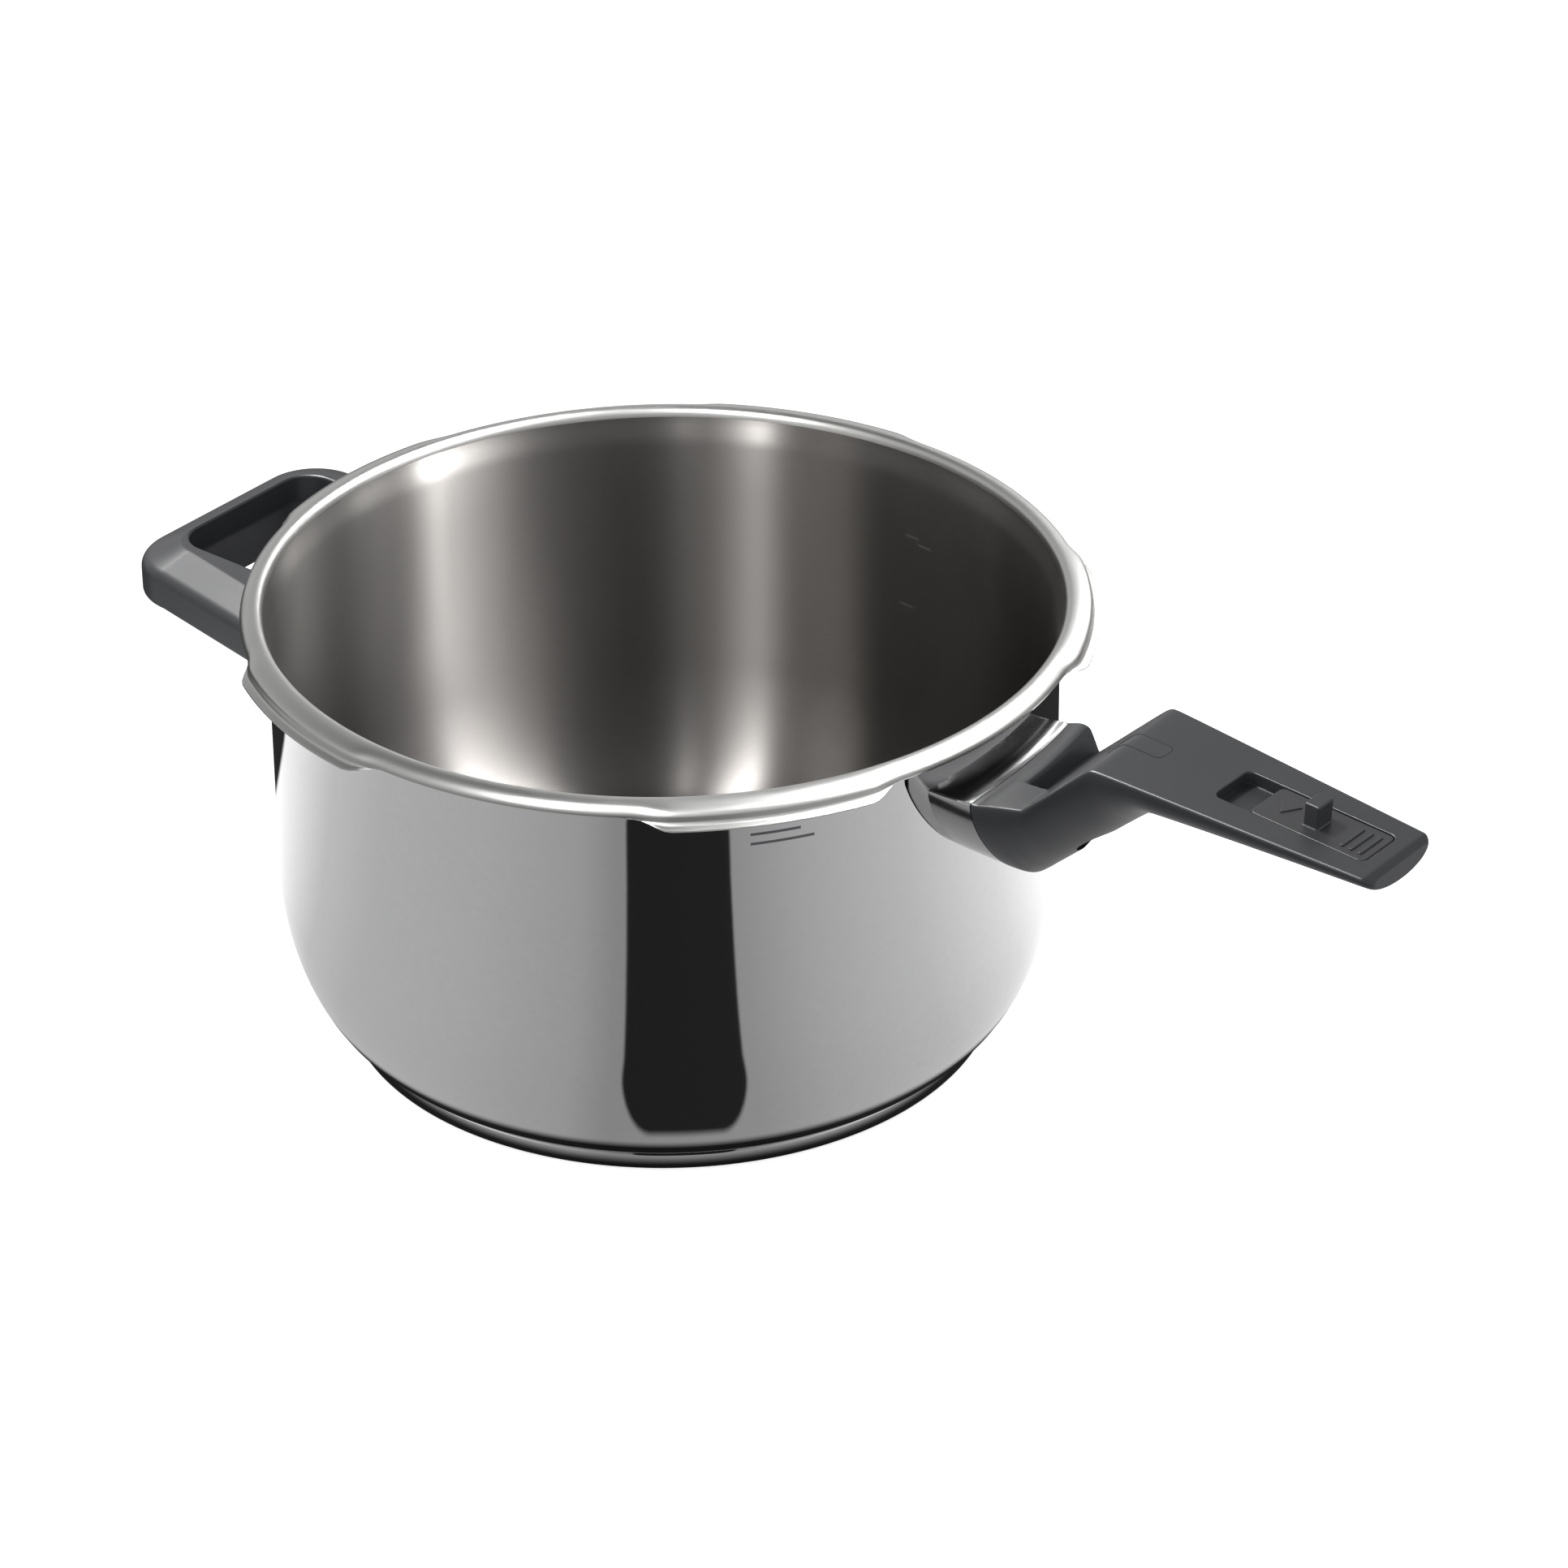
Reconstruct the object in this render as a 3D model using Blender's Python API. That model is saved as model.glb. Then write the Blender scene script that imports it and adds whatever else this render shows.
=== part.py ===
"""Stovetop pressure cooker pan, 22 cm, with its long handle, side handle and sliding lock.

Metres, +Z up. The origin is on the pan's axis, in the plane that it stands on.
The long handle points along +X and the side handle along -X.
"""

import math

import bmesh
import bpy
from mathutils import Matrix, Vector

GAP = 0.0003  # clearance kept between touching pieces

# Pan: a deep-drawn steel body with a rolled lip and five bayonet lugs.
WALL_RADIUS = 0.1108
SHEET = 0.0010
RIM_HEIGHT = 0.1315
FLOOR_Z = 0.0058
CORNER_WIDTH = 0.0190
CORNER_HEIGHT = 0.0420
CORNER_POWER = 1.8
NECK_Z = 0.1195
LUG_COUNT = 5
FIRST_LUG_ANGLE = math.radians(36.0)
LUG_HALF_ANGLE = math.radians(15.5)
LUG_RAMP_ANGLE = math.radians(5.0)
PAN_SEGMENTS = 72

# Base: an aluminium disc in a pressed steel capsule.
CAPSULE_RADIUS = 0.0936
CAPSULE_SHEET = 0.0009
CAPSULE_EDGE = 0.0022
CORE_RADIUS = 0.0922
BASE_SEGMENTS = 64

# Long handle: its half width, deck, slope, grip and underside along X. The root is turned about the
# pan's axis, and its deck rises from the near side (-Y) to the far side, where it ends in a rib.
BOUNDARY_X = 0.1268
BOUNDARY_BOW = 0.0021
HANDLE_END_X = 0.2472
HALF_WIDTH_ROOT = 0.0231
HALF_WIDTH_TAPER = 0.0635
HALF_WIDTH_X = 0.1122
ROOT_X = 0.1134
ROOT_TOP_Z = 0.1187
DECK_NEAR = ((0.1134, 0.1183), (0.1275, 0.1183), (0.1307, 0.1192), (0.1401, 0.1216), (0.1440, 0.1226))
DECK_FAR = ((0.1134, 0.1216), (0.1215, 0.1231), (0.1261, 0.1235), (0.1300, 0.1248), (0.1316, 0.1254), (0.1345, 0.1250))
DECK_POWER = 0.75
RIB_OUTER = 0.1338
RIB_FALL = 2.1
RIB_START = (math.radians(-3.9), math.radians(-3.3))
SHOULDER_X = 0.1600
SHOULDER_Z = 0.1420
GRIP_ORIGIN_X = 0.1615
GRIP_DROOP = math.radians(3.43)
GRIP_TILT = 0.0002
SLOPE_ANGLE = math.radians(43.6)
SLOPE_TILT = 0.0012
SLOPE_TOP_POINT = (0.1385, 0.1205)
SLOPE_UNDER_ANGLE = math.radians(42.5)
SLOPE_UNDER_POINT = (0.1402, 0.0968)
ROOT_UNDER_Z = 0.0903
ROOT_UNDER_FALL = 0.05
GRIP_END_DEPTH = 0.0062
GRIP_DEPTH_TAPER = 0.100
END_CORNER = 0.0030
END_CHAMFER = 0.0010
TOP_POINTS = 25
BELLY_POINTS = 15

# Flame guard: the flange that hugs the pan and the sleeve that grows from it.
GUARD_SHEET = 0.0009
FLANGE_HALF_WIDTH = 0.0282
FLANGE_TOP_Z = 0.1262
FLANGE_DEPTH = 0.0352

# Handle bolt, along X, with its welded boss.
BOLT_Z = 0.1075
BOLT_RADIUS = 0.0025
BOLT_SEAT_X = 0.1340
BOLT_TIP_X = 0.1165
BOLT_HEAD_RADIUS = 0.0042
BOSS_RADIUS = 0.0055
BOSS_END_X = 0.1235
SPIGOT_START = 0.45

# Lock slide, in the grip's own frame: U along the grip from the shoulder, V out of its top face.
RECESS_U = (0.0320, 0.0793)
RECESS_HALF_WIDTH = 0.0080
RECESS_DEPTH = 0.0037
SLIDE_U = (0.0432, 0.0790)
SLIDE_HALF_WIDTH = 0.0077
SLIDE_TRAVEL = 0.008
STUD_U = (0.0571, 0.0618)
STUD_HALF_WIDTH = 0.0034
STUD_HEIGHT = 0.0065
RIB_U = (0.0700, 0.0728, 0.0756)
STEM_U = (0.0520, 0.0580)
STEM_HALF_WIDTH = 0.0030
FLOOR_V = -0.0046
KEEPER_U = (0.0510, 0.0590)
KEEPER_HALF_WIDTH = 0.0046
KEEPER_V = (-0.0058, -0.0049)
CAVITY_U = (0.0315, 0.0595)
CAVITY_HALF_WIDTH = 0.0052
CAVITY_V = -0.0070
COVER_U = (0.0240, 0.0605)
COVER_HALF_WIDTH = 0.0060
COVER_V = -0.0073
COVER_SCREW_U = 0.0275
SPRING_RADIUS = 0.00074
SPRING_WIRE = 0.00016
SPRING_TURNS = 9

# Inlay on the shoulder.
INLAY_X = (0.1560, 0.1730)
INLAY_HALF_WIDTH = 0.0034
INLAY_DEPTH = 0.0010

# Side handle: a closed loop, screwed from below to a welded tab.
LOOP_TOP_Z = 0.1055
LOOP_EDGE_Z = 0.1006
LOOP_TOP_SLOPE_WIDTH = 0.0105
LOOP_BOTTOM_Z = 0.0892
LOOP_EDGE_ROUND = 0.0024
LOOP_OUTER_X = 0.1742
LOOP_INNER_X = 0.0900
LOOP_ROOT_HALF_WIDTH = 0.0536
LOOP_TIP_HALF_WIDTH = 0.0413
LOOP_CORNER = 0.0170
OPENING_INNER_X = 0.1245
OPENING_TOP_X = 0.1630
OPENING_FOOT_X = 0.1570
OPENING_HALF_WIDTH = 0.0275
OPENING_CORNER = 0.0090
OPENING_STEP_Z = 0.0970
TAB_Z = (0.0975, 0.0995)
TAB_HALF_WIDTH = 0.0070
TAB_END_X = 0.1216
LOOP_SCREW_X = 0.1172
LOOP_SCREW_RADIUS = 0.0020
BRACKET_SHEET = 0.0012
LOOP_FACE_RADIUS = 0.1126

STEEL = ("polished_steel", (0.62, 0.62, 0.63), 0.12, 1.0)
SATIN = ("satin_steel", (0.45, 0.44, 0.43), 0.35, 1.0)
ALUMINIUM = ("aluminium", (0.70, 0.70, 0.71), 0.45, 1.0)
PHENOLIC = ("black_phenolic", (0.045, 0.047, 0.050), 0.45, 0.0)
ZINC = ("zinc_plated_steel", (0.55, 0.56, 0.57), 0.35, 1.0)
SPRING_STEEL = ("spring_steel", (0.40, 0.40, 0.41), 0.30, 1.0)


def clear_scene():
    for obj in list(bpy.data.objects):
        bpy.data.objects.remove(obj, do_unlink=True)


def material(spec):
    name, colour, roughness, metallic = spec
    made = bpy.data.materials.get(name)
    if made is None:
        made = bpy.data.materials.new(name)
        made.use_nodes = True
        shader = made.node_tree.nodes["Principled BSDF"]
        shader.inputs["Base Color"].default_value = (*colour, 1.0)
        shader.inputs["Roughness"].default_value = roughness
        shader.inputs["Metallic"].default_value = metallic
    return made


def object_from(bm, name, spec=None):
    """Closes the bmesh into an object. Without a material it is a cutter, hidden from the render."""
    bmesh.ops.recalc_face_normals(bm, faces=bm.faces[:])
    mesh = bpy.data.meshes.new(name)
    bm.to_mesh(mesh)
    bm.free()
    obj = bpy.data.objects.new(name, mesh)
    bpy.context.scene.collection.objects.link(obj)
    if spec is None:
        obj.hide_render = True
        obj.display_type = "WIRE"
    else:
        mesh.materials.append(material(spec))
        mesh.shade_smooth()
        mesh.set_sharp_from_angle(angle=math.radians(30))
    return obj


def boolean(target, cutter, operation="DIFFERENCE"):
    modifier = target.modifiers.new(cutter.name, "BOOLEAN")
    modifier.operation = operation
    modifier.object = cutter
    return target


def loft(rings, closed=False):
    """Joins rings of equal length into one skin. It caps both ends, or joins the last ring to the first."""
    bm = bmesh.new()
    loops = [[bm.verts.new(point) for point in ring] for ring in rings]
    count = len(loops[0])
    pairs = list(zip(loops, loops[1:]))
    if closed:
        pairs.append((loops[-1], loops[0]))
    for lower, upper in pairs:
        for i in range(count):
            j = (i + 1) % count
            bm.faces.new((lower[i], lower[j], upper[j], upper[i]))
    if not closed:
        bm.faces.new(loops[0])
        bm.faces.new(loops[-1])
    return bm


def turned(profile, segments, axis_matrix=None):
    """A solid of revolution about Z from (radius, height) points, capped flat at both ends."""
    rings = []
    for radius, height in profile:
        angles = (2 * math.pi * i / segments for i in range(segments))
        rings.append([(radius * math.cos(a), radius * math.sin(a), height) for a in angles])
    bm = loft(rings)
    if axis_matrix is not None:
        bm.transform(axis_matrix)
    return bm


def turned_ring(profile, segments, axis_matrix=None):
    """A ring-shaped solid of revolution: the profile is a closed outline clear of the axis."""
    rings = []
    for radius, height in profile:
        angles = (2 * math.pi * i / segments for i in range(segments))
        rings.append([(radius * math.cos(a), radius * math.sin(a), height) for a in angles])
    bm = loft(rings, closed=True)
    if axis_matrix is not None:
        bm.transform(axis_matrix)
    return bm


def box(low, high, matrix=None):
    bm = bmesh.new()
    bmesh.ops.create_cube(bm, size=1.0)
    size = Vector(high) - Vector(low)
    centre = (Vector(high) + Vector(low)) / 2
    bmesh.ops.scale(bm, vec=size, verts=bm.verts)
    bmesh.ops.translate(bm, vec=centre, verts=bm.verts)
    if matrix is not None:
        bm.transform(matrix)
    return bm


def rounded_outline(half_x, half_y, radius, steps=4):
    """A rectangle with round corners, anticlockwise, about the origin."""
    points = []
    for quarter, (sx, sy) in enumerate(((1, 1), (-1, 1), (-1, -1), (1, -1))):
        for step in range(steps + 1):
            angle = math.pi / 2 * (quarter + step / steps)
            x = sx * (half_x - radius) + radius * math.cos(angle)
            y = sy * (half_y - radius) + radius * math.sin(angle)
            points.append((x, y))
    return points


def extruded(outline, low, high, matrix=None):
    rings = [[(x, y, level) for x, y in outline] for level in (low, high)]
    bm = loft(rings)
    if matrix is not None:
        bm.transform(matrix)
    return bm


def offset_path(path, distance):
    """The path moved sideways to its left, each point along the mean normal of its two runs."""
    moved = []
    for i, point in enumerate(path):
        before = Vector(path[max(i - 1, 0)])
        after = Vector(path[min(i + 1, len(path) - 1)])
        here = Vector(point)
        normals = []
        for run in (here - before, after - here):
            if run.length > 0:
                run.normalize()
                normals.append(Vector((-run.y, run.x)))
        mean = sum(normals, Vector((0, 0))) / len(normals)
        mean.normalize()
        reach = distance / max(mean.dot(normals[0]), 0.5)
        moved.append(tuple(here + mean * reach))
    return moved


def lug_weight(angle):
    """0 on the plain rim and 1 on a lug, with an S-shaped ramp between them."""
    pitch = 2 * math.pi / LUG_COUNT
    from_lug = abs((angle - FIRST_LUG_ANGLE + pitch / 2) % pitch - pitch / 2)
    t = (LUG_HALF_ANGLE + LUG_RAMP_ANGLE / 2 - from_lug) / LUG_RAMP_ANGLE
    t = min(max(t, 0.0), 1.0)
    return t * t * (3 - 2 * t)


def wall_path(weight):
    """The outer side of the pan's sheet as (radius, height), from the floor's edge to the lip's edge."""
    path = []
    steps = 7
    for i in range(steps + 1):
        angle = math.pi / 2 * (1 - i / steps)
        across = CORNER_WIDTH * math.cos(angle) ** (2 / CORNER_POWER)
        down = CORNER_HEIGHT * (1 - math.sin(angle) ** (2 / CORNER_POWER))
        path.append((WALL_RADIUS - CORNER_WIDTH + across, FLOOR_Z + down))
    neck = (
        (WALL_RADIUS, NECK_Z),
        (WALL_RADIUS + 0.0009, NECK_Z + 0.0055),
        (WALL_RADIUS + 0.0020, NECK_Z + 0.0092),
    )
    plain = ((0.1140, 0.1301), (0.1157, 0.1301), (0.1168, 0.1289), (0.1170, 0.1276), (0.1171, 0.1270))
    lug = ((0.1143, 0.1302), (0.1168, 0.1299), (0.1182, 0.1283), (0.1188, 0.1258), (0.1213, 0.1248))
    path.extend(neck)
    for (r0, z0), (r1, z1) in zip(plain, lug):
        path.append((r0 + (r1 - r0) * weight, z0 + (z1 - z0) * weight))
    return path


def pan_shell():
    rings = None
    for i in range(PAN_SEGMENTS):
        angle = 2 * math.pi * i / PAN_SEGMENTS
        outer = wall_path(lug_weight(angle))
        inner = offset_path(outer, SHEET)
        inner[0] = (outer[0][0], FLOOR_Z + SHEET)
        profile = outer + inner[::-1]
        if rings is None:
            rings = [[] for _ in profile]
        for ring, (radius, height) in zip(rings, profile):
            ring.append((radius * math.cos(angle), radius * math.sin(angle), height))
    return object_from(loft(rings), "pan_shell", STEEL)


def base_core():
    low = CAPSULE_SHEET + GAP
    high = FLOOR_Z - GAP
    inset = 0.0012
    profile = [
        (CORE_RADIUS - inset, low),
        (CORE_RADIUS - CAPSULE_SHEET / 2, low + inset),
        (CORE_RADIUS - CAPSULE_SHEET / 2, high),
    ]
    return object_from(turned(profile, BASE_SEGMENTS), "base_core", ALUMINIUM)


def base_capsule():
    top = FLOOR_Z - GAP
    inner_radius = CORE_RADIUS - CAPSULE_SHEET / 2 + GAP
    profile = [
        (CAPSULE_RADIUS - CAPSULE_EDGE, 0.0),
        (CAPSULE_RADIUS - 0.3 * CAPSULE_EDGE, 0.3 * CAPSULE_EDGE),
        (CAPSULE_RADIUS, CAPSULE_EDGE),
        (CAPSULE_RADIUS, top),
        (inner_radius, top),
        (inner_radius, CAPSULE_SHEET + 0.0011),
        (inner_radius - 0.0011, CAPSULE_SHEET),
    ]
    return object_from(turned(profile, BASE_SEGMENTS), "base_capsule", STEEL)


def half_width(x):
    return HALF_WIDTH_ROOT - HALF_WIDTH_TAPER * (x - HALF_WIDTH_X)


def smooth_min(a, b, blend):
    return (a + b - math.sqrt((a - b) ** 2 + blend**2)) / 2


def smooth_max(a, b, blend):
    return -smooth_min(-a, -b, blend)


def smooth_step(x, low, high):
    t = min(max((x - low) / (high - low), 0.0), 1.0)
    return t * t * (3 - 2 * t)


def grip_top(x):
    return SHOULDER_Z - math.tan(GRIP_DROOP) * (x - SHOULDER_X)


def slope_line(x, point, angle):
    return point[1] + math.tan(angle) * (x - point[0])


def between(points, value):
    """Height on a line of (place, height) points."""
    if value <= points[0][0]:
        return points[0][1]
    for (x0, z0), (x1, z1) in zip(points, points[1:]):
        if value <= x1:
            return z0 + (z1 - z0) * (value - x0) / (x1 - x0)
    return points[-1][1]


def deck_height(radius, across):
    """The turned deck: low at the near edge, high at the far one, with the rib along its end."""
    near = between(DECK_NEAR, radius)
    far = between(DECK_FAR, radius)
    return near + (far - near) * ((across + 1) / 2) ** DECK_POWER


def top_height(x, y, across):
    """Height of the top at (x, y), at a share of the half width from -1 to 1."""
    radius = math.hypot(x, y)
    fall = RIB_FALL * max(radius - RIB_OUTER, 0.0) * smooth_step(math.atan2(y, x), *RIB_START)
    deck = deck_height(radius, across) - fall
    slope = slope_line(x, SLOPE_TOP_POINT, SLOPE_ANGLE) + SLOPE_TILT * across
    return smooth_min(smooth_max(deck, slope, 0.0006), grip_top(x) + GRIP_TILT * across, 0.0012)


def middle_top(x):
    return top_height(x, 0.0, 0.0)


def under_height(x):
    root = ROOT_UNDER_Z - ROOT_UNDER_FALL * (x - HALF_WIDTH_X)
    rise = smooth_max(root, slope_line(x, SLOPE_UNDER_POINT, SLOPE_UNDER_ANGLE), 0.0015)
    grip = grip_top(x) - GRIP_END_DEPTH - GRIP_DEPTH_TAPER * (HANDLE_END_X - x)
    return smooth_min(rise, grip, 0.0030)


def belly_power(x):
    return 1.55 + 0.45 * smooth_step(x, 0.145, 0.185)


def section(x, inset=0.0, bow=0.0):
    """The handle's outline at x as points: along the top from +Y to -Y, then round the belly.

    A bowed outline leans back towards its sides.
    """
    full = half_width(x)
    width = full
    under = under_height(x)
    if x > HANDLE_END_X - END_CORNER:
        into = x - (HANDLE_END_X - END_CORNER)
        corner = END_CORNER - math.sqrt(max(END_CORNER**2 - into**2, 0.0))
        width -= corner
        under += 0.10 * corner
    chamfer = END_CHAMFER * smooth_step(x, HANDLE_END_X - 0.0022, HANDLE_END_X)
    width -= inset
    under += inset

    def placed(y):
        return x - bow * (y / full) ** 2

    def top(y, across):
        return top_height(placed(y), y, across) - chamfer - inset

    points = []
    for i in range(TOP_POINTS):
        across = 1 - 2 * i / (TOP_POINTS - 1)
        points.append((placed(width * across), width * across, top(width * across, across)))
    sides = [top(-width, -1), top(width, 1)]
    power = belly_power(x)
    for i in range(1, BELLY_POINTS + 1):
        angle = math.pi * i / (BELLY_POINTS + 1)
        cosine = math.cos(angle)
        across = math.copysign(abs(cosine) ** (2 / power), -cosine)
        edge = sides[0] + (sides[1] - sides[0]) * (across + 1) / 2
        depth = (edge - under) * math.sin(angle) ** (2 / power)
        points.append((placed(width * across), width * across, edge - depth))
    return points


def handle_rings(stations, inset=0.0):
    """Sections that lean like the boundary at the root and stand straight from the slope on."""
    rings = []
    for x in stations:
        bow = BOUNDARY_BOW * (1 - smooth_step(x, BOUNDARY_X + 2 * GAP, 0.1420))
        rings.append(section(x, inset, bow))
    return rings


def sleeve_rings(inset, first_share=0.0):
    """The sleeve's sections from its root to its bowed end, starting at a share of the way to the middle."""
    middle_x = (ROOT_X + BOUNDARY_X) / 2
    root, middle = handle_rings([ROOT_X, middle_x], inset)
    start = [tuple(Vector(a).lerp(Vector(b), first_share)) for a, b in zip(root, middle)]
    return [start, middle] + handle_rings([BOUNDARY_X], inset)


def handle_skin():
    """The whole outer form of the long handle, from the sleeve's end to the tip."""
    stations = [BOUNDARY_X + GAP] + [0.1280 + 0.0009 * i for i in range(17)]
    stations += [0.1440, 0.1465, 0.1490, 0.1515, 0.1540, 0.1560, 0.1575, 0.1588, 0.1600, 0.1613, 0.1635]
    stations += [0.1665, 0.1690, 0.1740, 0.1790, 0.1840, 0.1900]
    stations += [0.1980, 0.2080, 0.2180, 0.2280, 0.2370, HANDLE_END_X - END_CORNER]
    stations += [HANDLE_END_X - 0.0022, HANDLE_END_X - 0.0008, HANDLE_END_X]
    return loft(handle_rings(stations[:1], 2 * GUARD_SHEET) + handle_rings(stations))


def grip_matrix():
    """From the grip's frame (U along the grip, V out of its top) to the pan's frame."""
    turn = Matrix.Rotation(GRIP_DROOP, 4, "Y")
    return Matrix.Translation((GRIP_ORIGIN_X, 0, grip_top(GRIP_ORIGIN_X))) @ turn


def grip_box(span_u, half_y, span_v):
    low = (span_u[0], -half_y, span_v[0])
    high = (span_u[1], half_y, span_v[1])
    return box(low, high, grip_matrix())


def grip_plate(span_u, half_y, radius, span_v):
    centre = (span_u[0] + span_u[1]) / 2
    outline = rounded_outline((span_u[1] - span_u[0]) / 2, half_y, radius)
    outline = [(x + centre, y) for x, y in outline]
    return extruded(outline, span_v[0], span_v[1], grip_matrix())


def pin(radius, start, end, matrix, segments=16):
    return turned([(radius, start), (radius, end)], segments, matrix)


def along_x(x, z):
    """Turns +Z to +X and moves the axis to height z."""
    return Matrix.Translation((x, 0, z)) @ Matrix.Rotation(math.pi / 2, 4, "Y")


def grip_axis(u):
    return grip_matrix() @ Matrix.Translation((u, 0, 0))


def wall_radius_at(z):
    """Outer radius of the pan's wall and neck."""
    if z <= NECK_Z:
        return WALL_RADIUS
    middle = NECK_Z + 0.0055
    if z <= middle:
        return WALL_RADIUS + 0.0009 * (z - NECK_Z) / 0.0055
    return WALL_RADIUS + 0.0009 + 0.0011 * (z - middle) / 0.0037


def flame_guard():
    """The flange on the wall, the sleeve from the crease to its end, and the same skin inside."""
    flange_edge = []
    for _, y, z in section(ROOT_X):
        across = y / half_width(ROOT_X)
        share = (ROOT_TOP_Z - z) / (ROOT_TOP_Z - ROOT_UNDER_Z)
        flange_edge.append((FLANGE_HALF_WIDTH * across, FLANGE_TOP_Z - FLANGE_DEPTH * max(share, 0.0)))

    def on_wall(points, off):
        ring = []
        for y, z in points:
            radius = wall_radius_at(z) + off
            ring.append((math.sqrt(radius**2 - y**2), y, z))
        return ring

    outside = sleeve_rings(0.0)
    inside = sleeve_rings(GUARD_SHEET)[:0:-1]
    inner_root = on_wall([point[1:] for point in section(ROOT_X, GUARD_SHEET)], GAP)
    rings = [on_wall(flange_edge, GAP), on_wall(flange_edge, GAP + 0.0006)]
    rings += outside + inside + [inner_root]
    return object_from(loft(rings, closed=True), "flame_guard", STEEL)


def long_bracket():
    """A plate welded to the wall with a threaded boss along X."""
    half_angle = math.radians(5.0)
    low, high = 0.1000, 0.1165
    inner = WALL_RADIUS + GAP
    outer = inner + 0.0013
    rings = []
    for i in range(5):
        angle = half_angle * (i / 2 - 1)
        corners = ((inner, low), (outer, low), (outer, high), (inner, high))
        rings.append([(r * math.cos(angle), r * math.sin(angle), z) for r, z in corners])
    bracket = object_from(loft(rings), "long_bracket", ZINC)
    boss = object_from(pin(BOSS_RADIUS, 0, BOSS_END_X - 0.1118, along_x(0.1118, BOLT_Z), 24), "boss_body")
    boolean(bracket, boss, "UNION")
    bore_start = BOLT_TIP_X - 0.0008
    bore = object_from(pin(BOLT_RADIUS + GAP, 0, 0.02, along_x(bore_start, BOLT_Z)), "boss_bore")
    return boolean(bracket, bore)


def inlay_block(name, grow, depth, spec=None):
    """A block that follows the top line over the shoulder and stands proud of it."""
    low_x, high_x = INLAY_X[0] - grow, INLAY_X[1] + grow
    steps = 12
    stations = [low_x + (high_x - low_x) * i / steps for i in range(steps + 1)]
    above = [(x, middle_top(x) + 0.004) for x in stations]
    below = [(x, middle_top(x) - depth) for x in reversed(stations)]
    rings = []
    for side in (-1, 1):
        rings.append([(x, side * (INLAY_HALF_WIDTH + grow), z) for x, z in above + below])
    return object_from(loft(rings), name, spec)


def index_inlay():
    inlay = object_from(handle_skin(), "index_inlay", PHENOLIC)
    return boolean(inlay, inlay_block("inlay_form", 0.0, INLAY_DEPTH), "INTERSECT")


def long_handle():
    handle = object_from(handle_skin(), "long_handle", PHENOLIC)
    inset = GUARD_SHEET + 2 * GAP
    spigot_rings = sleeve_rings(inset, SPIGOT_START) + handle_rings([0.1300], inset)
    boolean(handle, object_from(loft(spigot_rings), "spigot"), "UNION")
    boss_hole = pin(BOSS_RADIUS + 0.0006, 0, BOSS_END_X + 0.0005 - 0.1100, along_x(0.1100, BOLT_Z), 24)
    boolean(handle, object_from(boss_hole, "boss_hole"))
    shank_hole = pin(BOLT_RADIUS + GAP, 0, 0.030, along_x(0.1150, BOLT_Z))
    boolean(handle, object_from(shank_hole, "shank_hole"))
    counterbore = pin(BOLT_HEAD_RADIUS + 0.0010, 0, 0.050, along_x(BOLT_SEAT_X, BOLT_Z), 24)
    boolean(handle, object_from(counterbore, "counterbore"))
    boolean(handle, inlay_block("inlay_pocket", GAP, INLAY_DEPTH + GAP))
    recess = grip_plate(RECESS_U, RECESS_HALF_WIDTH, 0.0020, (-RECESS_DEPTH, 0.0100))
    boolean(handle, object_from(recess, "recess"))
    slot_u = (STEM_U[0] - SLIDE_TRAVEL - 2 * GAP, STEM_U[1] + GAP)
    slot = grip_plate(slot_u, STEM_HALF_WIDTH + GAP, 0.0008, (CAVITY_V - 0.001, 0.001))
    boolean(handle, object_from(slot, "stem_slot"))
    cavity = grip_box(CAVITY_U, CAVITY_HALF_WIDTH, (CAVITY_V - 0.001, FLOOR_V))
    boolean(handle, object_from(cavity, "cavity"))
    cover_u = (COVER_U[0] - GAP, COVER_U[1] + GAP)
    pocket = grip_box(cover_u, COVER_HALF_WIDTH + GAP, (-0.030, CAVITY_V))
    boolean(handle, object_from(pocket, "cover_pocket"))
    screw_hole = pin(0.0014, CAVITY_V - 0.001, -0.0030, grip_axis(COVER_SCREW_U), 12)
    return boolean(handle, object_from(screw_hole, "cover_screw_hole"))


def underside_cover():
    cover = object_from(handle_skin(), "underside_cover", PHENOLIC)
    form = grip_box(COVER_U, COVER_HALF_WIDTH, (-0.030, COVER_V))
    boolean(cover, object_from(form, "cover_form"), "INTERSECT")
    seat = pin(0.0024, -0.030, -0.0092, grip_axis(COVER_SCREW_U))
    boolean(cover, object_from(seat, "cover_screw_seat"))
    hole = pin(0.0014, -0.030, 0.0, grip_axis(COVER_SCREW_U), 12)
    return boolean(cover, object_from(hole, "cover_through_hole"))


def screw(name, radius, head_radius, head, shank, matrix, spec=ZINC, drive_turns=4):
    """A pan-head screw along its matrix's Z, with a cross recess. head and shank are (start, end)."""
    tip = shank[1]
    step = math.copysign(0.25 * radius, tip - shank[0])
    dome = head[0] + 0.35 * (head[1] - head[0])
    profile = [
        (0.72 * head_radius, head[0]),
        (head_radius, dome),
        (head_radius, head[1]),
        (radius, head[1]),
        (radius, tip - step),
        (0.75 * radius, tip),
    ]
    obj = object_from(turned(profile, 16, matrix), name, spec)
    depth = 0.55 * (head[1] - head[0])
    arm = 0.55 * head_radius
    thin = 0.14 * head_radius
    ends = sorted((head[0] - (head[1] - head[0]), head[0] + depth))
    bar = [(arm, thin), (thin, thin), (thin, arm), (-thin, arm), (-thin, thin), (-arm, thin)]
    bar += [(-x, -y) for x, y in bar]
    return boolean(obj, object_from(extruded(bar, ends[0], ends[1], matrix), name + "_drive"))


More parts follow.
